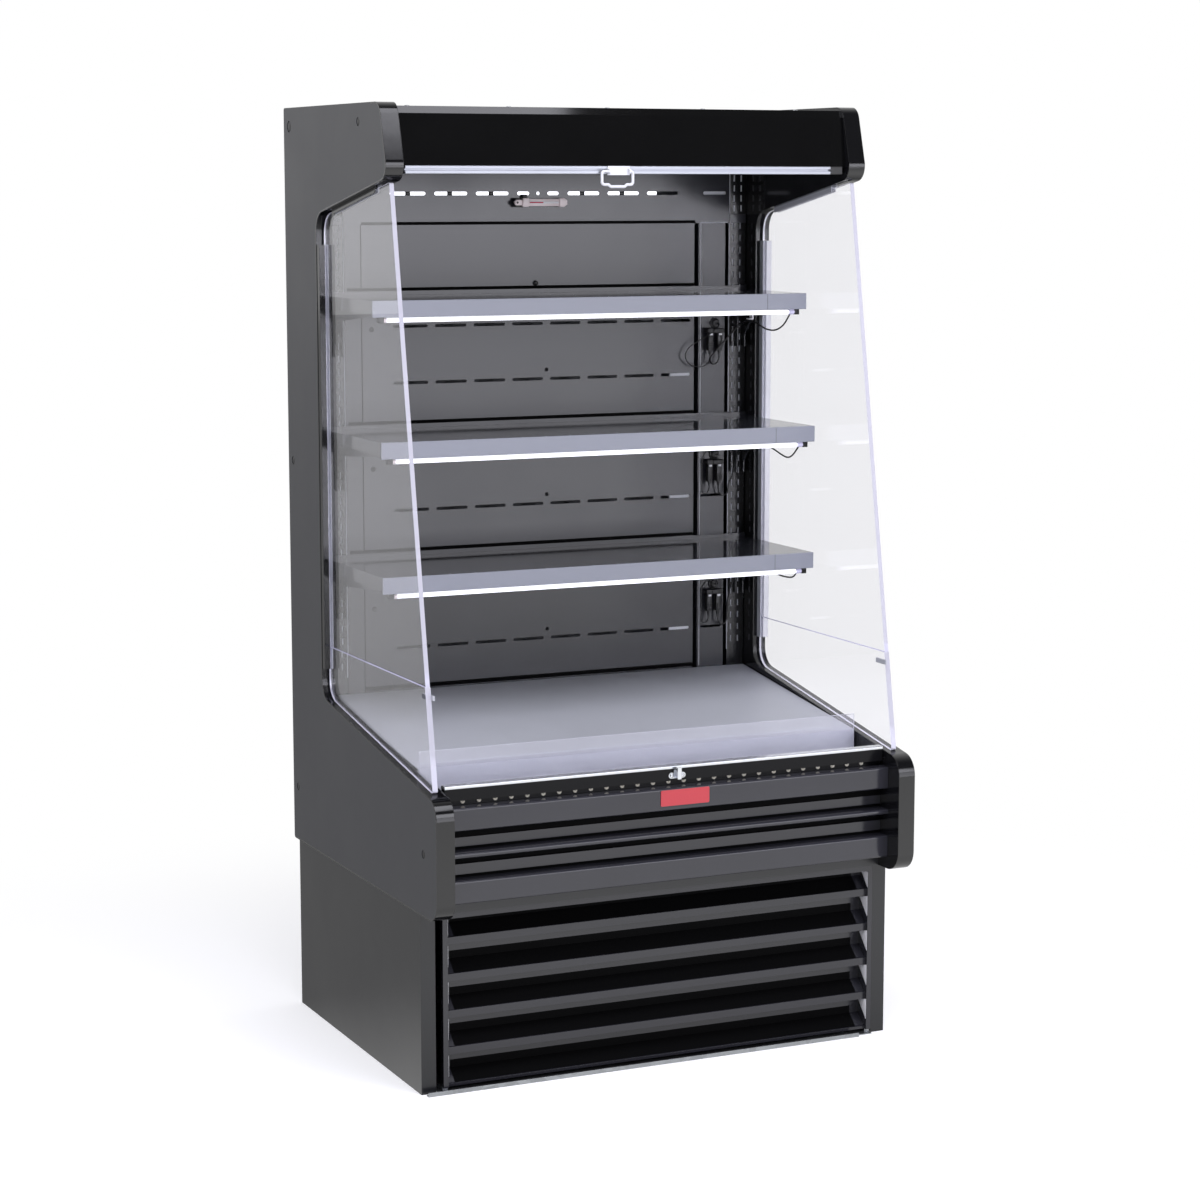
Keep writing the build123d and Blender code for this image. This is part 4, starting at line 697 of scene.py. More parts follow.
def turned(name: str, profile: Section, centre: Point, axis: Point, steps: int = 32) -> Piece:
    """Spins a profile round an axis.

    Args:
        name: piece name.
        profile: (radius, height) points; the height runs along the axis.
        centre: point on the axis at height 0.
        axis: direction of the axis, along X, Y or Z.
        steps: faces round the piece.

    Returns:
        The object.
    """
    out = Vector((0, 0, 1)) if not axis[2] else Vector((1, 0, 0))
    line = [tuple(Vector(centre) + out * r + Vector(axis) * h) for r, h in profile]
    made = traced(name, line, False)
    bpy.ops.object.mode_set(mode="EDIT")
    bpy.ops.mesh.select_all(action="SELECT")
    bpy.ops.mesh.spin(steps=steps, angle=2 * math.pi, center=centre, axis=axis)
    bpy.ops.mesh.select_all(action="SELECT")
    bpy.ops.mesh.remove_doubles(threshold=1e-6)
    bpy.ops.mesh.normals_make_consistent(inside=False)
    bpy.ops.object.mode_set(mode="OBJECT")
    bpy.ops.object.shade_smooth_by_angle(angle=SMOOTH_ANGLE)
    return made


def shifted_copy(made: Piece, move: Point, name: str | None = None) -> Piece:
    """Copies a piece with its own mesh.

    Args:
        made: the piece to copy.
        move: how far the copy is moved.
        name: its name.

    Returns:
        The copy.
    """
    other = made.copy()
    other.data = made.data.copy()
    other.data.transform(Matrix.Translation(move))
    other.name = other.data.name = name or made.name
    bpy.context.collection.objects.link(other)
    return other


def joined(name: str, parts: Iterable[Piece]) -> Piece:
    """Joins pieces into one object.

    Args:
        name: name of the result.
        parts: pieces to join.

    Returns:
        The joined object.
    """
    parts = list(parts)
    deselect()
    for part in parts:
        part.select_set(True)
    bpy.context.view_layer.objects.active = parts[0]
    bpy.ops.object.join()
    parts[0].name = parts[0].data.name = name
    return parts[0]


def cut(made: Piece, tool: Piece) -> Piece:
    """Cuts one piece out of another and removes the cutter.

    Args:
        made: the piece to cut.
        tool: the cutter.

    Returns:
        The piece.
    """
    apply_modifier(made, "BOOLEAN", object=tool, operation="DIFFERENCE", solver="EXACT")
    bpy.data.objects.remove(tool)
    return made


def dressed(made: Piece, finish: Surface, body: str, stands_for: Sequence[str] = ()) -> Piece:
    """Gives a piece its finish, its body and what it stands for.

    Args:
        made: the piece.
        finish: its finish.
        body: body that carries it.
        stands_for: nodes that it replaces.

    Returns:
        The piece.
    """
    made.data.materials.clear()
    made.data.materials.append(finish.material())
    if body:
        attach(made, body)
    if stands_for:
        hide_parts(*stands_for)
    LOG.info("%s on %s, %d faces", made.name, body or "two bodies",
             len(made.data.polygons) if made.type == "MESH" else 0)
    return made


# Studio

@dataclass(frozen=True)
class Lamp:
    """Soft rectangular lamp that faces the middle of the object."""

    name: str
    place: Point
    width: float
    height: float
    watts: float


@dataclass
class Studio:
    """Camera, lamps, world and floor."""

    camera_place: Point = (-2.3435, -5.0765, 1.6605)
    camera_yaw: float = -24.858
    camera_pitch: float = -8.218
    focal_mm: float = 86.406
    sensor_mm: float = 36.0
    view_end: float = 100.0
    floor_size: float = 60.0
    floor_edge: tuple[float, float] = (0.75, 2.0)
    floor_near: float = 0.4
    floor_in_gloss: tuple[float, float, float] = (0.9, 1.7, 0.45)
    floor_bands: tuple[float, float, float, float] = (-5.0, -2.0, -1.0, 0.4)
    ambient: float = 0.5
    room_front: float = 0.08
    room_turn: tuple[float, float] = (-0.35, 0.55)
    light_tint: tuple[float, float, float] = (0.97, 0.97, 1.05)
    aim: Point = (0.0, 0.0, 0.95)
    lamps: tuple[Lamp, ...] = (
        Lamp("overhead", (-0.3, -2.3, 4.5), 3.4, 2.4, 125.0),
        Lamp("left", (-3.6, -0.6, 1.9), 2.4, 2.6, 30.0), Lamp("right", (3.6, 0.4, 1.7), 1.6, 2.6, 20.0),
        Lamp("key panel", (1.5, -3.7, 1.9), 2.05, 1.2, 38.0),
        Lamp("low panel", (1.35, -3.8, 0.75), 2.2, 0.9, 19.0))

    def build(self) -> None:
        """Sets up all that isn't part of the object."""
        scene = bpy.context.scene
        scene.view_settings.view_transform = "Standard"
        self.add_camera(scene)
        self.add_world(scene)
        self.add_floor()
        self.add_lamps()

    def add_camera(self, scene: bpy.types.Scene) -> None:
        """Places the camera of the photograph's view.

        Args:
            scene: the scene that gets it.
        """
        lens = bpy.data.cameras.new("viewpoint")
        lens.lens, lens.sensor_width, lens.clip_end = self.focal_mm, self.sensor_mm, self.view_end
        camera = bpy.data.objects.new("viewpoint", lens)
        camera.location = self.camera_place
        camera.rotation_euler = (math.radians(90 + self.camera_pitch), 0.0, math.radians(self.camera_yaw))
        scene.collection.objects.link(camera)
        scene.camera = camera

    def add_world(self, scene: bpy.types.Scene) -> None:
        """White backdrop to the eye and through glass; in gloss, bright behind the object and dim before it.

        Args:
            scene: the scene that gets the world.
        """
        scene.world = bpy.data.worlds.new("studio")
        scene.world.use_nodes = True
        tree = scene.world.node_tree
        tree.nodes.clear()
        path = add(tree, "ShaderNodeLightPath")
        seen = add(
            tree, "ShaderNodeMath",
            {0: path.outputs["Is Camera Ray"], 1: path.outputs["Is Transmission Ray"]}, operation="MAXIMUM")
        ray = add(tree, "ShaderNodeTexCoord").outputs["Generated"]
        split = add(tree, "ShaderNodeSeparateXYZ", {0: ray})
        dim, bright = self.room_turn
        behind = add(tree, "ShaderNodeMapRange",
                     {"Value": split.outputs["Y"], 1: dim, 2: bright, 3: self.room_front, 4: 1.0},
                     interpolation_type="SMOOTHSTEP").outputs[0]
        glossy = add(tree, "ShaderNodeMix", {0: path.outputs["Is Glossy Ray"], 2: self.ambient, 3: behind},
                     data_type="FLOAT")
        strength = add(
            tree, "ShaderNodeMix", {0: seen.outputs[0], 2: glossy.outputs[0], 3: 1.0}, data_type="FLOAT")
        shine = add(tree, "ShaderNodeBackground", {"Color": (1, 1, 1, 1), "Strength": strength.outputs[0]})
        add(tree, "ShaderNodeOutputWorld", {0: shine.outputs[0]})

    def add_floor(self) -> None:
        """White floor that keeps the object's soft shadow and runs into the white backdrop."""
        deselect()
        bpy.ops.mesh.primitive_plane_add(size=self.floor_size)
        floor = settle("studio_floor")
        material, tree = new_material("matt white floor")
        paper = add(tree, "ShaderNodeBsdfDiffuse", {"Color": linear("#e4e4e8")})
        path = add(tree, "ShaderNodeLightPath")
        place = add(tree, "ShaderNodeTexCoord").outputs["Object"]
        away = add(tree, "ShaderNodeVectorMath", {0: place}, operation="LENGTH").outputs["Value"]
        rise = add(tree, "ShaderNodeMapRange", {"Value": away, 1: self.floor_edge[0], 2: self.floor_edge[1]},
                   interpolation_type="SMOOTHSTEP").outputs[0]
        seen = add(tree, "ShaderNodeMath",
                   {0: path.outputs["Is Camera Ray"], 1: path.outputs["Is Transmission Ray"]},
                   operation="MAXIMUM").outputs[0]
        lift = add(tree, "ShaderNodeMath", {0: seen, 1: self.floor_near}, operation="MULTIPLY")
        near_glow = add(tree, "ShaderNodeEmission", {"Strength": lift.outputs[0]})
        near = add(tree, "ShaderNodeAddShader", {0: paper.outputs[0], 1: near_glow.outputs[0]})
        white = add(tree, "ShaderNodeEmission", {"Strength": 1.0})
        fade = add(tree, "ShaderNodeMath", {0: seen, 1: rise}, operation="MULTIPLY")
        to_eye = add(
            tree, "ShaderNodeMixShader", {0: fade.outputs[0], 1: near.outputs[0], 2: white.outputs[0]})
        across = add(tree, "ShaderNodeSeparateXYZ", {0: place}).outputs["Y"]
        far, close, behind = self.floor_in_gloss
        far_y, close_y, edge_y, behind_y = self.floor_bands
        front = add(tree, "ShaderNodeMapRange", {"Value": across, 1: far_y, 2: close_y, 3: far, 4: close})
        level = add(tree, "ShaderNodeMapRange",
                    {"Value": across, 1: edge_y, 2: behind_y, 3: front.outputs[0], 4: behind})
        in_gloss = add(tree, "ShaderNodeEmission", {"Strength": level.outputs[0]})
        mirrored = add(tree, "ShaderNodeMath",
                       {0: path.outputs["Is Glossy Ray"], 1: path.outputs["Is Transmission Ray"]},
                       operation="SUBTRACT", use_clamp=True)
        both = add(tree, "ShaderNodeMixShader",
                   {0: mirrored.outputs[0], 1: to_eye.outputs[0], 2: in_gloss.outputs[0]})
        add(tree, "ShaderNodeOutputMaterial", {0: both.outputs[0]})
        floor.data.materials.append(material)

    def add_lamps(self) -> None:
        """Large soft lamps: one overhead, one at each side, and two panels whose image the gloss shows."""
        for lamp in self.lamps:
            light = bpy.data.lights.new(lamp.name, "AREA")
            light.shape, light.size, light.size_y = "RECTANGLE", lamp.width, lamp.height
            light.energy, light.color = lamp.watts, self.light_tint
            held = bpy.data.objects.new(lamp.name, light)
            held.location = lamp.place
            away = Vector(self.aim) - Vector(lamp.place)
            held.rotation_euler = away.to_track_quat("-Z", "Y").to_euler()
            bpy.context.collection.objects.link(held)


# Wiring of the shelf lamps

LEAD_ROUTES: tuple[tuple[Point, ...], ...] = (
    ((0.438, 0.0043, 1.408), (0.438, 0.0143, 1.408), (0.438, 0.026, 1.399), (0.438, 0.046, 1.38),
     (0.438, 0.076, 1.368), (0.438, 0.112, 1.366), (0.438, 0.148, 1.374), (0.438, 0.182, 1.383),
     (0.432, 0.209, 1.379), (0.418, 0.223, 1.363), (0.401, 0.227, 1.344), (0.384, 0.229, 1.326),
     (0.364, 0.232, 1.305), (0.3743, 0.24, 1.2903), (0.391, 0.24, 1.2945), (0.391, 0.24, 1.312)),
    ((0.438, -0.0357, 1.146), (0.438, -0.0257, 1.146), (0.438, -0.011, 1.132), (0.438, 0.008, 1.118),
     (0.438, 0.028, 1.113), (0.438, 0.056, 1.1185), (0.438, 0.088, 1.127), (0.438, 0.124, 1.132),
     (0.438, 0.16, 1.131), (0.434, 0.188, 1.129), (0.4265, 0.21, 1.121), (0.426, 0.226, 1.102),
     (0.426, 0.234, 1.079), (0.423, 0.238, 1.059), (0.413, 0.239, 1.041), (0.413, 0.24, 1.0185),
     (0.391, 0.24, 1.0185), (0.391, 0.24, 1.04)),
    ((0.438, -0.0357, 0.8916), (0.438, -0.0257, 0.8916), (0.438, -0.015, 0.884), (0.438, -0.004, 0.874),
     (0.438, 0.015, 0.8706), (0.438, 0.046, 0.87), (0.438, 0.082, 0.873), (0.438, 0.116, 0.877),
     (0.438, 0.15, 0.879), (0.435, 0.18, 0.875), (0.425, 0.204, 0.862), (0.417, 0.222, 0.84),
     (0.413, 0.234, 0.812), (0.4126, 0.24, 0.78), (0.413, 0.24, 0.7465), (0.391, 0.24, 0.7465),
     (0.391, 0.24, 0.768)),)
# Loops, with heights counted from the socket; the highest set's hangs wide
WIDE_LOOP: tuple[Point, ...] = (
    (0.386, 0.244, 0.0), (0.386, 0.224, 0.0), (0.374, 0.221, -0.012), (0.358, 0.228, -0.025),
    (0.339, 0.234, -0.036), (0.32, 0.238, -0.048), (0.311, 0.24, -0.066), (0.321, 0.24, -0.083),
    (0.341, 0.24, -0.09), (0.36, 0.24, -0.088), (0.37, 0.24, -0.076), (0.37, 0.24, -0.064),)
CLOSE_LOOP: tuple[Point, ...] = (
    (0.386, 0.244, 0.0), (0.386, 0.224, 0.0), (0.379, 0.227, 0.018), (0.362, 0.232, 0.014),
    (0.352, 0.238, -0.004), (0.352, 0.24, -0.034), (0.3535, 0.24, -0.057), (0.352, 0.24, -0.08),
    (0.37, 0.24, -0.08), (0.37, 0.24, -0.064),)


@dataclass
class LampWiring:
    """Leads, harness loops and the plugs of the three shelf lamps."""

    lead_r: float = 0.0016
    loop_r: float = 0.0012
    lead_lengths: tuple[float, float, float] = (0.3703, 0.4066, 0.4115)
    loops: tuple[tuple[tuple[Point, ...], float], ...] = (
        (WIDE_LOOP, 0.2053), (CLOSE_LOOP, 0.1737), (CLOSE_LOOP, 0.1737))
    sockets: tuple[float, float, float] = (1.376, 1.104, 0.832)
    wall: float = 0.252
    socket_x: float = 0.386
    plug_x: tuple[float, float] = (0.37, 0.391)
    plug_y: tuple[float, float] = (0.235, 0.245)
    held_y: float = 0.238

    def cable(self, name: str, points: Sequence[Point], radius: float) -> tuple[Piece, list[Point]]:
        """Tube along a smooth NURBS line.

        Args:
            name: piece name.
            points: control points.
            radius: cable radius.

        Returns:
            The mesh tube and the points of its centre line.
        """
        deselect()
        line = bpy.data.curves.new(name, "CURVE")
        line.dimensions = "3D"
        spline = line.splines.new("NURBS")
        spline.points.add(len(points) - 1)
        for spot, point in zip(spline.points, points):
            spot.co = (*point, 1.0)
        spline.order_u = 3
        spline.use_endpoint_u = True
        spline.resolution_u = 8
        held = bpy.data.objects.new(name, line)
        bpy.context.collection.objects.link(held)
        bpy.context.view_layer.update()
        plain = bpy.data.meshes.new_from_object(held)
        path = [tuple(vertex.co) for vertex in plain.vertices]
        line.bevel_depth, line.bevel_resolution = radius, 3
        line.use_fill_caps = True
        chosen(held)
        bpy.ops.object.convert(target="MESH")
        tube = bpy.context.object
        tube.name = tube.data.name = name
        bpy.ops.object.shade_smooth()
        return tube, path

    def socket_parts(self) -> list[Piece]:
        """Models the grommet, its ring, the socket and its latch, with heights counted from the socket.

        Returns:
            The pieces.
        """
        grommet = turned("grommet",
                         [(0.0, 0.0), (0.011, 0.0), (0.0112, 0.0015), (0.0105, 0.003), (0.0085, 0.0034),
                          (0.0078, 0.0045), (0.0074, 0.0075), (0.006, 0.008), (0.0, 0.008)],
                         (self.socket_x, self.wall, 0.0), (0, -1, 0), 28)
        ring = turned("grommet_ring",
                      [(0.0032, 0.0078), (0.0062, 0.0078), (0.0064, 0.0088), (0.005, 0.0092),
                       (0.0034, 0.0088), (0.0032, 0.0078)],
                      (self.socket_x, self.wall, 0.0), (0, -1, 0), 24)
        body = block("socket_body", (0.362, self.wall - 0.02, -0.02), (0.4, self.wall, -0.01), 0.0015)
        latch = block("socket_latch", (0.3745, self.wall - 0.0225, -0.018),
                      (0.3875, self.wall - 0.0195, -0.011), 0.0008)
        return [grommet, ring, body, latch]

    def plug_parts(self, x: float) -> list[Piece]:
        """Models one ribbed plug and its tail, with heights counted from the socket.

        Args:
            x: middle of the plug.

        Returns:
            The pieces.
        """
        front, back = self.plug_y
        parts = [block("plug_shell", (x - 0.0055, front, -0.056), (x + 0.0055, back, -0.02), 0.0012)]
        for rib in range(3):
            z = -0.05 + rib * 0.0045
            parts.append(block("plug_rib", (x - 0.0061, front - 0.0006, z),
                               (x + 0.0061, back + 0.0006, z + 0.0018), 0.0005))
        parts.append(turned("plug_tail",
                            [(0.0017, -0.064), (0.0026, -0.064), (0.0032, -0.058), (0.0032, -0.0555),
                             (0.0017, -0.0555)],
                            (x, (front + back) / 2, 0.0), (0, 0, 1), 20))
        return parts

    def lock(self, x: float) -> Piece:
        """Models the small white lock at the top of a plug."""
        return block("plug_lock", (x - 0.0035, 0.2335, -0.0245), (x + 0.0035, 0.2352, -0.0205), 0.0004)

    def build(self) -> None:
        """Builds every lead, loop and socket set."""
        left, right = self.plug_x
        parts = self.socket_parts() + self.plug_parts(left) + self.plug_parts(right)
        plugs = joined("lamp_sockets_and_plugs", parts)
        locks = joined("plug_locks", [self.lock(left), self.lock(right)])
        sets = [shifted_copy(plugs, (0, 0, z), f"plug_set_{i}") for i, z in enumerate(self.sockets, 1)]
        lock_sets = [
            shifted_copy(locks, (0, 0, z), f"plug_locks_{i}") for i, z in enumerate(self.sockets, 1)]
        for original in (plugs, locks):
            bpy.data.objects.remove(original)
        for made, tips in zip(sets, lock_sets):
            dressed(made, MOULDED_BLACK, "cabinet", ["lamp_connectors"])
            dressed(tips, MOULDED_WHITE, "cabinet")
        for index, (z, (route, length)) in enumerate(zip(self.sockets, self.loops)):
            loop, path = self.cable(
                f"harness_loop_{index + 1}", [(x, y, z + dz) for x, y, dz in route], self.loop_r)
            dressed(loop, CABLE, "cabinet", ["harness_loops"])
        for index, route in enumerate(LEAD_ROUTES):
            lead, path = self.cable(f"lamp_lead_{index + 1}", route, self.lead_r)
            dressed(lead, CABLE, "", [f"shelf_{index + 1}_lead"])
            _, y, z = route[1]
            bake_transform(lead)


# Fasteners and small fittings

def screw_head(name: str, place: Point, axis: Point, radius: float, height: float) -> Piece:
    """Pan head screw with a cross recess.

    Args:
        name: piece name.
        place: centre of the head's seat.
        axis: the way it faces, along Z or -Y.
        radius: head radius.
        height: head height.

    Returns:
        The object.
    """
    head = turned(name,
                  [(0.0, 0.0), (radius, 0.0), (radius, height * 0.3), (radius * 0.8, height * 0.8),
                   (radius * 0.4, height), (0.0, height)],
                  place, axis, 20)
    across, thin, deep = radius * 0.62, radius * 0.13, height * 0.55
    tip = Vector(place) + Vector(axis) * height
    for long_x in (True, False):
        side = Vector((across, thin, 0)) if long_x else Vector((thin, across, 0))
        if not axis[2]:
            side = Vector((side.x, 0, side.y))
        reach = side + Vector([abs(a) * deep for a in axis])
        head = cut(head, block("recess", tuple(tip - reach), tuple(tip + reach)))
    return head


@dataclass
class Thermometer:
    """Spirit thermometer that hangs in a slot of the liner."""

    z: float = 1.624
    face_y: float = 0.234
    back_y: float = 0.2449
    tube_y: float = 0.2378
    column_y: float = 0.2358
    ticks: int = 14

    def clip(self) -> None:
        """Black clip whose hook goes through the liner's slot."""
        z = self.z
        plate = block(
            "thermometer_clip", (-0.0665, 0.2395, z - 0.009), (-0.052, self.back_y, z + 0.009), 0.0012)
        drop = block("clip_hook", (-0.048, 0.2448, 1.616), (-0.038, 0.2462, 1.6399), 0.0004)
        arm = block("hook_arm", (-0.048, 0.245, 1.6387), (-0.038, 0.258, 1.6399), 0.0004)
        tip = block("hook_tip", (-0.048, 0.2568, 1.633), (-0.038, 0.258, 1.6395), 0.0004)
        dressed(
            joined("thermometer_clip", [plate, drop, arm, tip]), MOULDED_BLACK, "cabinet")

    def body(self) -> None:
        """White tongue with its eye, two collars and the ticked body between them."""
        z, face = self.z, self.face_y
        depth = (0, self.back_y - face, 0)
        tongue = pushed(
            "thermometer_tongue",
            [(-0.0695, 0.2345, z - 0.002), (-0.066, 0.2345, z - 0.0055), (-0.053, 0.2345, z - 0.0055),
             (-0.053, 0.2345, z + 0.0055), (-0.066, 0.2345, z + 0.0055), (-0.0695, 0.2345, z + 0.002)],
            (0, 0.005, 0), 0.0008)
        eye = turned("tongue_eye", [(0.0, 0.0), (0.0018, 0.0), (0.0022, 0.0006), (0.0, 0.0008)],
                     (-0.0635, 0.2346, z), (0, -1, 0), 14)
        collar = pushed("left_collar",
                        [(-0.052, face, z - 0.009), (-0.038, face, z - 0.0085), (-0.038, face, z + 0.0085),
                         (-0.052, face, z + 0.009)],
                        depth, 0.0016)
        cap = pushed("right_cap",
                     [(0.028, face, z - 0.0085), (0.039, face, z - 0.009), (0.0455, face, z - 0.0045),
                      (0.0455, face, z + 0.0045), (0.039, face, z + 0.009), (0.028, face, z + 0.0085)],
                     depth, 0.0016)
        bar = block(
            "thermometer_body", (-0.0385, 0.2362, z - 0.0074), (0.0285, self.back_y, z + 0.0074), 0.0018)
        parts = [tongue, collar, cap, bar]
        for tick in range(self.ticks):
            x = -0.001 + tick * 0.002
            parts.append(block("tick", (x, 0.2357, z - 0.0055), (x + 0.0007, 0.2364, z + 0.0055), 0.0002))
        dressed(
            joined("thermometer_body", parts), MOULDED_BLUSH, "cabinet", ["thermometer"])
        dressed(eye, MOULDED_BLACK, "cabinet")

    def tube(self) -> None:
        """Pale tube along the body and the red column in front of it."""
        glass = turned(
            "thermometer_tube",
            [(0.0, 0.0), (0.0022, 0.0), (0.0028, 0.001), (0.0028, 0.063), (0.0022, 0.064), (0.0, 0.064)],
            (-0.037, self.tube_y, self.z), (1, 0, 0), 20)
        dressed(glass, MOULDED_WHITE, "cabinet")
        column = turned(
            "spirit_column", [(0.0, 0.0), (0.0011, 0.0), (0.0013, 0.0006), (0.0013, 0.029), (0.0, 0.03)],
            (-0.0365, self.column_y, self.z), (1, 0, 0), 12)
        dressed(column, SPIRIT_RED, "cabinet")

    def build(self) -> None:
        """Builds the whole thermometer."""
        self.clip()
        self.body()
        self.tube()


@dataclass
class CanopyFittings:
    """Canopy lamp behind the lit slots, header screws, caps, plugs and knob."""

    row_z: float = 1.642
    panel_y: float = 0.254
    tube_r: float = 0.0075
    tube_x: tuple[float, float] = (-0.336, 0.257)
    clip_x: tuple[float, ...] = (-0.2872, -0.1986, -0.11, 0.089, 0.1776)
    screw_x: float = -0.436
    screw_pitch: float = 0.20025
    screw_count: int = 5
    side_x: float = 0.495
    caps: tuple[Point, ...] = ((0.3616, 1.7715, 0.011), (-0.0295, 1.7738, 0.008), (0.366, 1.116, 0.008),
                               (0.365, 0.454, 0.008), (-0.327, 0.461, 0.008))
    plug_x: float = -0.362
    plug_z: tuple[float, float, float] = (1.378, 1.103, 0.8235)
    knob: Point = (-0.017, 0.254, 1.464)

    def lamp(self) -> None:
        """Lit tube in the duct with a dark clip behind the middle of each long slot."""
        low, high = self.tube_x
        r, y = self.tube_r, self.panel_y + 0.014
        tube = turned("canopy_tube",
                      [(0.0, 0.0), (r * 0.8, 0.0), (r, 0.003), (r, high - low - 0.003),
                       (r * 0.8, high - low), (0.0, high - low)],
                      (low, y, self.row_z), (1, 0, 0), 24)
        dressed(tube, CANOPY_LAMP, "cabinet")
        clips = []
        for x in self.clip_x:
            clips.append(
                turned("canopy_clip",
                       [(r + 0.0003, 0.0), (r + 0.0022, 0.0), (r + 0.0028, 0.0015), (r + 0.0028, 0.0085),
                        (r + 0.0022, 0.01), (r + 0.0003, 0.01), (r + 0.0003, 0.0)],
                       (x - 0.005, y, self.row_z), (1, 0, 0), 20))
            clips.append(block("clip_foot", (x - 0.004, y + r, self.row_z - 0.004),
                               (x + 0.004, 0.309, self.row_z + 0.004), 0.0008))
        dressed(joined("canopy_tube_clips", clips), MOULDED_BLACK, "cabinet")

    def fasteners(self) -> None:
        """Header screws, end panel caps, panel plugs and the knob on the centre panel."""
        screws = []
        for i in range(self.screw_count):
            place = (self.screw_x + self.screw_pitch * i, -0.126, 1.801)
            screws.append(screw_head("header_screw", place, (0, 0, 1), 0.005, 0.0015))
        dressed(joined("header_screws", screws), BRIGHT_STEEL, "cabinet", ["screws_and_caps"])
        caps = []
        for y, z, r in self.caps:
            for side in (-1, 1):
                caps.append(turned("panel_cap",
                                   [(0.0, -0.0002), (r * 0.5, -0.0003), (r * 0.85, -0.0008),
                                    (r * 0.97, -0.0014), (r * 0.97, -0.003), (0.0, -0.003)],
                                   (side * self.side_x, y, z), (side, 0, 0), 24))
        dressed(joined("panel_caps", caps), MOULDED_BLACK, "cabinet")
        plugs = [turned("panel_plug",
                        [(0.0, 0.0016), (0.003, 0.0015), (0.0046, 0.0009), (0.005, 0.0), (0.005, -0.001),
                         (0.0, -0.001)],
                        (self.plug_x, self.panel_y, z), (0, -1, 0), 20)
                 for z in self.plug_z]
        dressed(joined("panel_plugs", plugs), MOULDED_BLACK, "cabinet")
        knob = turned("panel_knob",
                      [(0.0, 0.005), (0.0036, 0.0048), (0.0049, 0.0038), (0.005, 0.0024), (0.0038, 0.0014),
                       (0.0038, 0.0), (0.0, 0.0)],
                      self.knob, (0, -1, 0), 24)
        dressed(knob, MOULDED_BLACK, "cabinet")

    def build(self) -> None:
        """Builds the canopy's fittings."""
        self.lamp()
        Thermometer().build()
        self.fasteners()


@dataclass
class BackWallLines:
    """What shows in and around the back panels: pale strips painted as light in some slots, dead black
    strips painted as shade in the gaps, and pale strips painted as highlights along edges.
    """

    panel_y: float = 0.254
    panel_x: tuple[float, float] = (-0.382, 0.34)
    panel_z: tuple[float, float] = (0.64, 1.581)
    side_x: tuple[float, float] = (0.3535, 0.415)
    slot_columns: tuple[float, float] = (0.43, 0.446)
    air_rows: tuple[float, float, float] = (1.2715, 1.0185, 0.742)
    upright_x: tuple[float, float] = (0.4198, 0.4593)
    ceiling: float = 1.6866

    def slot_light(self) -> None:
        """Pale strips behind the upright slots and behind the right end of the lower air slots, painted as
        the light seen through them.
        """
        strips = []
        for x in self.slot_columns:
            for side in (-x, x):
                strips.append(block("slot_strip", (side - 0.0014, self.panel_y + 0.0021, 0.69),
                                    (side + 0.0014, self.panel_y + 0.0027, 1.598), 0.0002))
        for z in self.air_rows:
            strips.append(block("row_strip", (0.285, self.panel_y + 0.0013, z - 0.005),
                                (0.335, self.panel_y + 0.0019, z + 0.005), 0.0002))
        strips.append(block("row_strip", (0.355, self.panel_y + 0.0023, 1.6355),
                            (0.415, self.panel_y + 0.0029, 1.6485), 0.0002))
        dressed(joined("slot_light_strips", strips), PAINTED_LIGHT_GREY, "cabinet")

    def gap_shade(self) -> None:
        """Dead black strips painted as the shade in the gaps above and below the centre panel and behind
        each shelf.
        """
        low, high = self.panel_x
        y = self.panel_y
        lines = [block("top_gap", (low, y - 0.0027, self.panel_z[1]),
                       (high, y - 0.0005, self.panel_z[1] + 0.0058), 0.0002),
                 block("low_gap", (low, y - 0.0006, 0.659), (high, y + 0.0004, 0.6675), 0.0002)]
        for top, _, _ in SHELF_PLACES:
            lines.append(block("shelf_gap", (low - 0.03, y - 0.0008, top), (high, y + 0.0004, top + 0.014),
                               0.0002))
        dressed(joined("panel_gaps", lines), SHADE_BLACK, "cabinet")

    def edges(self) -> None:
        """Thin pale strips painted as highlights along the top and left side of the right side panel and
        along the uprights.
        """
        left, right = self.side_x
        top, y = self.panel_z[1], self.panel_y
        lines = [
            block("head_edge", (left, y - 0.0024, top + 0.0003), (right, y, top + 0.0021), 0.0003),
            block("left_edge", (left - 0.0004, y - 0.0024, 0.66), (left + 0.0008, y, top + 0.0019), 0.0003)]
        for side in (-1, 1):
            x = side * self.upright_x[0]
            lines.append(block("upright_edge", (x - 0.0008, y - 0.0012, 0.69),
                               (x + 0.0008, y + 0.001, 1.598), 0.0002))
            lines.append(block("head_edge", (x - 0.0005, y - 0.0032, 1.5982),
                               (x + 0.0005, y - 0.001, self.ceiling), 0.0002))
        dressed(joined("panel_edges", lines), PAINTED_LIGHT_GREY, "cabinet")

    def heads(self) -> None:
        """Tops of the uprights, up to the ceiling in front of the lit band, with pale marks in their slots
        painted as the light seen through them.
        """
        near, far = self.upright_x
        y = self.panel_y
        plates, marks = [], []
        for side in (-1, 1):
            low, high = sorted((side * near, side * far))
            plates.append(
                block("upright_head", (low, y - 0.0028, 1.5985), (high, y - 0.0001, self.ceiling), 0.0004))
            for x in self.slot_columns:
                for row in range(4):
                    z = 1.611 + row * 0.0203
                    marks.append(block("head_slot", (side * x - 0.0014, y - 0.003, z - 0.0064),
                                       (side * x + 0.0014, y - 0.0027, z + 0.0064), 0.0001))
        dressed(joined("upright_heads", plates), UPRIGHT_STEEL, "cabinet")
        dressed(joined("head_slot_light", marks), PAINTED_LIGHT_GREY, "cabinet")

    def build(self) -> None:
        """Builds all of them."""
        self.slot_light()
        self.gap_shade()
        self.edges()
        self.heads()


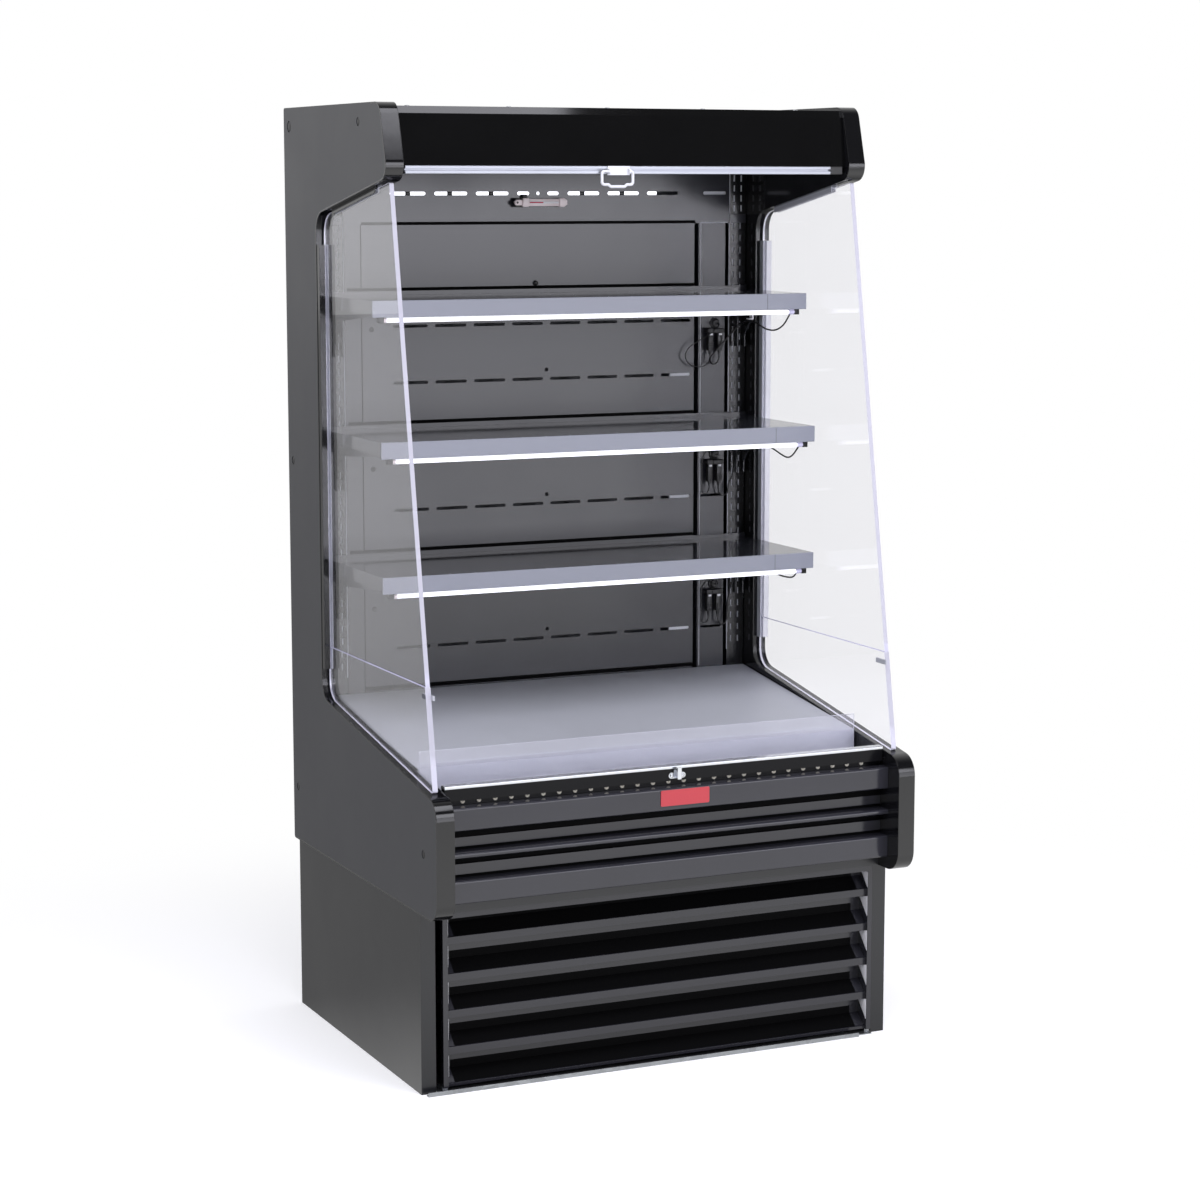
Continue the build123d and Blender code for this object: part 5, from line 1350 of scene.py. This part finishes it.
@dataclass
class NightCover:
    """Stowed night cover: the wound roll with its core and journals, and the free cloth down to the bar."""

    roller: tuple[float, float] = (-0.112, 1.745)
    half: float = 0.45
    cloth_x: tuple[float, float] = (-0.44, 0.424)
    inner_r: float = 0.0163
    outer_r: float = 0.022
    layer: float = 0.0005
    steps_per_turn: int = 24
    top: Point = (0.0, -0.1343, 1.745)
    low: Point = (0.0, -0.1474, 1.6937)

    def roll(self) -> None:
        """Spiral of cloth on an aluminium core."""
        turns = (self.outer_r - self.inner_r) / self.layer
        steps = int(turns * self.steps_per_turn)
        y0, z0 = self.roller
        line = []
        for i in range(steps + 1):
            angle = math.pi - 2 * math.pi * (steps - i) / self.steps_per_turn
            r = self.inner_r + (self.outer_r - self.inner_r) * i / steps
            line.append((self.cloth_x[0], y0 + r * math.cos(angle), z0 + r * math.sin(angle)))
        wound = traced("wound_cover", line, False)
        bpy.ops.object.mode_set(mode="EDIT")
        bpy.ops.mesh.select_all(action="SELECT")
        width = self.cloth_x[1] - self.cloth_x[0]
        bpy.ops.mesh.extrude_region_move(TRANSFORM_OT_translate={"value": (width, 0, 0)})
        bpy.ops.mesh.select_all(action="SELECT")
        bpy.ops.mesh.normals_make_consistent(inside=False)
        bpy.ops.object.mode_set(mode="OBJECT")
        bpy.ops.object.shade_smooth_by_angle(angle=SMOOTH_ANGLE)
        dressed(wound, COVER_CLOTH, "cover_roller", ["night_cover_roller"])
        core = turned("roller_core",
                      [(0.0, 0.0), (0.006, 0.0), (0.006, 0.0093), (0.0155, 0.0095), (0.016, 0.0105),
                       (0.016, 2 * self.half + 0.0081), (0.0155, 2 * self.half + 0.0091),
                       (0.006, 2 * self.half + 0.0093), (0.006, 2 * self.half + 0.0186),
                       (0.0, 2 * self.half + 0.0186)],
                      (-self.half - 0.0093, y0, z0), (1, 0, 0), 28)
        dressed(core, MILL_ALUMINIUM, "cover_roller")

    def free_cloth(self) -> None:
        """Flat cloth from the roll's front down to the bar."""
        low_x, high_x = self.cloth_x
        width = high_x - low_x
        run = Vector(self.low) - Vector(self.top)
        deselect()
        bpy.ops.mesh.primitive_grid_add(
            x_subdivisions=24, y_subdivisions=30, size=1,
            location=((low_x + high_x) / 2, (self.top[1] + self.low[1]) / 2,
                      (self.top[2] + self.low[2]) / 2),
            rotation=(math.atan2(run.z, run.y), 0, 0))
        bpy.context.object.scale = (width, run.length, 1)
        cloth = settle("free_cover_cloth")
        dressed(cloth, COVER_CLOTH, "", ["night_cover_cloth"])
        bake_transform(cloth)

    def build(self) -> None:
        """Builds the roll and the free cloth."""
        self.roll()
        self.free_cloth()


@dataclass
class ShelfFittings:
    """Lamp, its holders and strip, bright dots painted as light through holes, and lead clip of one shelf.
    """

    number: int
    top: float
    front: float
    clip: tuple[float, float]
    lamp_x: tuple[float, float] = (-0.4295, 0.4215)
    lamp_back: float = 0.0085
    lamp_drop: float = 0.037
    strip_drop: float = 0.0296
    tube_r: float = 0.0045
    seam_x: float = 0.37
    # Bright dots painted as light showing through holes along the tray's front
    dot_x: float = -0.425
    dot_pitch: float = 0.05
    dot_count: int = 18
    tray: float = 0.0015
    flange: float = 0.028

    def lamp(self) -> None:
        """Lit tube between a dark holder at the left and a milky cap with a ribbed plug at the right."""
        body = f"shelf_{self.number}"
        y, z = self.front + self.lamp_back, self.top - self.lamp_drop
        low, high = self.lamp_x
        roof = self.top - self.strip_drop
        r = self.tube_r
        tube = turned(f"{body}_tube",
                      [(0.0, 0.0), (r * 0.8, 0.0), (r, 0.001), (r, high - low - 0.001),
                       (r * 0.8, high - low), (0.0, high - low)],
                      (low, y, z), (1, 0, 0), 20)
        dressed(tube, SHELF_LAMP, body, [f"{body}_lamp"])
        strip = block(f"{body}_strip", (low, y - 0.002, z + r), (high, y + 0.008, roof), 0.0004)
        dressed(strip, MILL_ALUMINIUM, body)
        tip = turned(
            f"{body}_tip",
            [(0.0, 0.0), (0.0042, 0.0), (0.0049, 0.0008), (0.0049, 0.0055), (0.0046, 0.006), (0.0, 0.006)],
            (low - 0.0045, y, z), (1, 0, 0), 20)
        cap = turned(
            f"{body}_cap",
            [(0.0, 0.0), (0.005, 0.0), (0.0052, 0.001), (0.0052, 0.0105), (0.0044, 0.0122), (0.0, 0.0122)],
            (high, y, z), (1, 0, 0), 20)
        neck = block(f"{body}_neck", (high, y - 0.004, z + 0.003), (high + 0.0115, y + 0.004, roof), 0.0006)
        dressed(tip, MOULDED_BLUSH, body)
        dressed(joined(f"{body}_milky_cap", [cap, neck]), LAVENDER_CAP, body)
        parts = [pushed(f"{body}_left_holder",
                        [(low - 0.016, y - 0.0052, z - 0.003), (low - 0.016, y - 0.0052, roof),
                         (low - 0.0045, y - 0.0052, roof), (low - 0.0045, y - 0.0052, z - 0.0052),
                         (low - 0.013, y - 0.0052, z - 0.0052)],
                        (0, 0.0104, 0), 0.0006)]
        parts.append(block(f"{body}_plug", (high + 0.0122, y - 0.004, z - 0.004),
                           (high + 0.023, y + 0.004, roof), 0.0008))
        for rib in range(4):
            x = high + 0.0128 + rib * 0.0026
            parts.append(
                block("rib", (x, y - 0.0052, z - 0.0052), (x + 0.0013, y + 0.0052, z + 0.0052), 0.0004))
        dressed(joined(f"{body}_lamp_holders", parts), MOULDED_BLACK, body)

    def hole_light_dots(self) -> None:
        """Bright steel dots along the tray's front edge, painted as light from beneath showing through
        holes, and the joint line of the price rail.
        """
        body = f"shelf_{self.number}"
        hole_light_dot = turned("hole_light_dot", [(0.0, 0.0007), (0.0009, 0.0006), (0.0014, 0.0), (0.0, 0.0)],
                       (self.dot_x, self.front + 0.007, self.top), (0, 0, 1), 10)
        hole_light_dots = [hole_light_dot]
        for i in range(1, self.dot_count):
            hole_light_dots.append(shifted_copy(hole_light_dot, (self.dot_pitch * i, 0, 0)))
        dressed(joined(f"{body}_rivets", hole_light_dots), BRIGHT_STEEL, body)
        seam = block(f"{body}_rail_joint", (self.seam_x, self.front - 0.0001, self.top - 0.0312),
                     (self.seam_x + 0.0008, self.front + 0.001, self.top - 0.0003), 0.00005)
        dressed(seam, MOULDED_BLACK, body)

    def lead_clip(self) -> None:
        """White clip that the lead runs through, over its solid."""
        body = f"shelf_{self.number}"
        y, z = self.clip
        cap = z + 0.0019
        under = self.top - self.tray - self.flange
        plate = block(
            "clip_plate", (0.4418, y - 0.0062, cap - 0.0001), (0.4449, y + 0.0062, under + 0.001), 0.0004)
        lip = block(
            "clip_lip", (0.4346, y - 0.0062, cap - 0.0001), (0.4432, y + 0.0062, cap + 0.0022), 0.0004)
        dressed(joined(f"{body}_lead_clip", [plate, lip]), MOULDED_WHITE, body)

    def build(self) -> None:
        """Builds one shelf's fittings."""
        self.lamp()
        self.hole_light_dots()
        self.lead_clip()


@dataclass
class NoseFittings:
    """Warm white rings in the nose's foot, painted as the specks of light in its holes, and screws of the
    cover's catch.
    """

    speck_y: float = -0.3225
    speck_z: float = 0.5518
    pitch: float = 0.032
    count: int = 27

    def build(self) -> None:
        """Builds the rings and the screws."""
        first = -(self.count - 1) / 2 * self.pitch
        light_ring = turned("light_ring",
                        [(0.0008, 0.0012), (0.0026, 0.002), (0.0044, 0.0012), (0.0046, 0.0), (0.0008, 0.0),
                         (0.0008, 0.0012)],
                        (first, self.speck_y, self.speck_z), (0, -1, 0), 12)
        light_rings = [light_ring] + [shifted_copy(light_ring, (self.pitch * i, 0, 0)) for i in range(1, self.count)]
        dressed(joined("nose_hole_light", light_rings), HOLE_LIGHT, "cabinet")
        screws = [
            screw_head("catch_screw", (x, -0.3382, 0.565), (0, -1, 0), 0.0034, 0.0014) for x in (0.0, 0.023)]
        dressed(joined("catch_screws", screws), BRIGHT_STEEL, "cabinet")


@dataclass
class BaseFittings:
    """White patches painted as light at the ends of the louvre blades, and the dust screen behind the rear
    slots.
    """

    # Inner faces of the stiles, which carry the white patches painted as light
    clip_x: tuple[float, float] = (-0.438, 0.448)
    patch_y: tuple[float, float] = (-0.299, -0.269)
    patch_thick: float = 0.0008
    top_patch_z: tuple[float, float] = (0.296, 0.327)
    blade_tops: tuple[float, ...] = (0.0138, 0.0832, 0.1526, 0.222)
    screen_x: float = 0.37
    screen_y: tuple[float, float] = (0.3726, 0.3748)
    screen_z: tuple[float, float] = (0.075, 0.275)

    def clips(self) -> None:
        """White three-cornered patches on the inner faces of the stiles, above each blade's slope, painted
        as the light that shows there.
        """
        front, back = self.patch_y
        parts = []
        low, high = self.top_patch_z
        for x in self.clip_x:
            reach = math.copysign(self.patch_thick, -x)
            for top in self.blade_tops:
                parts.append(
                    pushed("clip",
                           [(x, front, top + 0.016), (x, front, top + 0.0565), (x, back, top + 0.049)],
                           (reach, 0, 0), 0.0002))
            parts.append(pushed("clip", [(x, front, low), (x, front, high), (x, back - 0.003, high)],
                                (reach, 0, 0), 0.0002))
        dressed(joined("blade_end_light_patches", parts), MOULDED_WHITE, "louvre")

    def build(self) -> None:
        """Builds the light patches and the screen."""
        self.clips()
        near, far = zip(self.screen_y, self.screen_z)
        screen = block("dust_screen", (-self.screen_x, *near), (self.screen_x, *far), 0.0006)
        dressed(screen, DUST_SCREEN, "cabinet")


def dress_nodes(frame: dict) -> None:
    """Puts each finish on the material slots of its nodes.

    Args:
        frame: what the loaded model gave.
    """
    for finish, nodes in NODES_BY_FINISH:
        for node in nodes.split():
            for held in frame["nodes"][node].material_slots:
                held.material = finish.material()
            LOG.info("%s in %s", node, finish.name)


def main() -> None:
    """Builds the scene in order."""
    logging.basicConfig(level=logging.INFO, format="%(message)s")
    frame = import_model()
    Studio().build()
    LampWiring().build()
    CanopyFittings().build()
    BackWallLines().build()
    NightCover().build()
    for index, (top, front, clip) in enumerate(SHELF_PLACES, 1):
        ShelfFittings(index, top, front, clip).build()
    NoseFittings().build()
    BaseFittings().build()
    dress_nodes(frame)


if __name__ == "__main__":
    main()
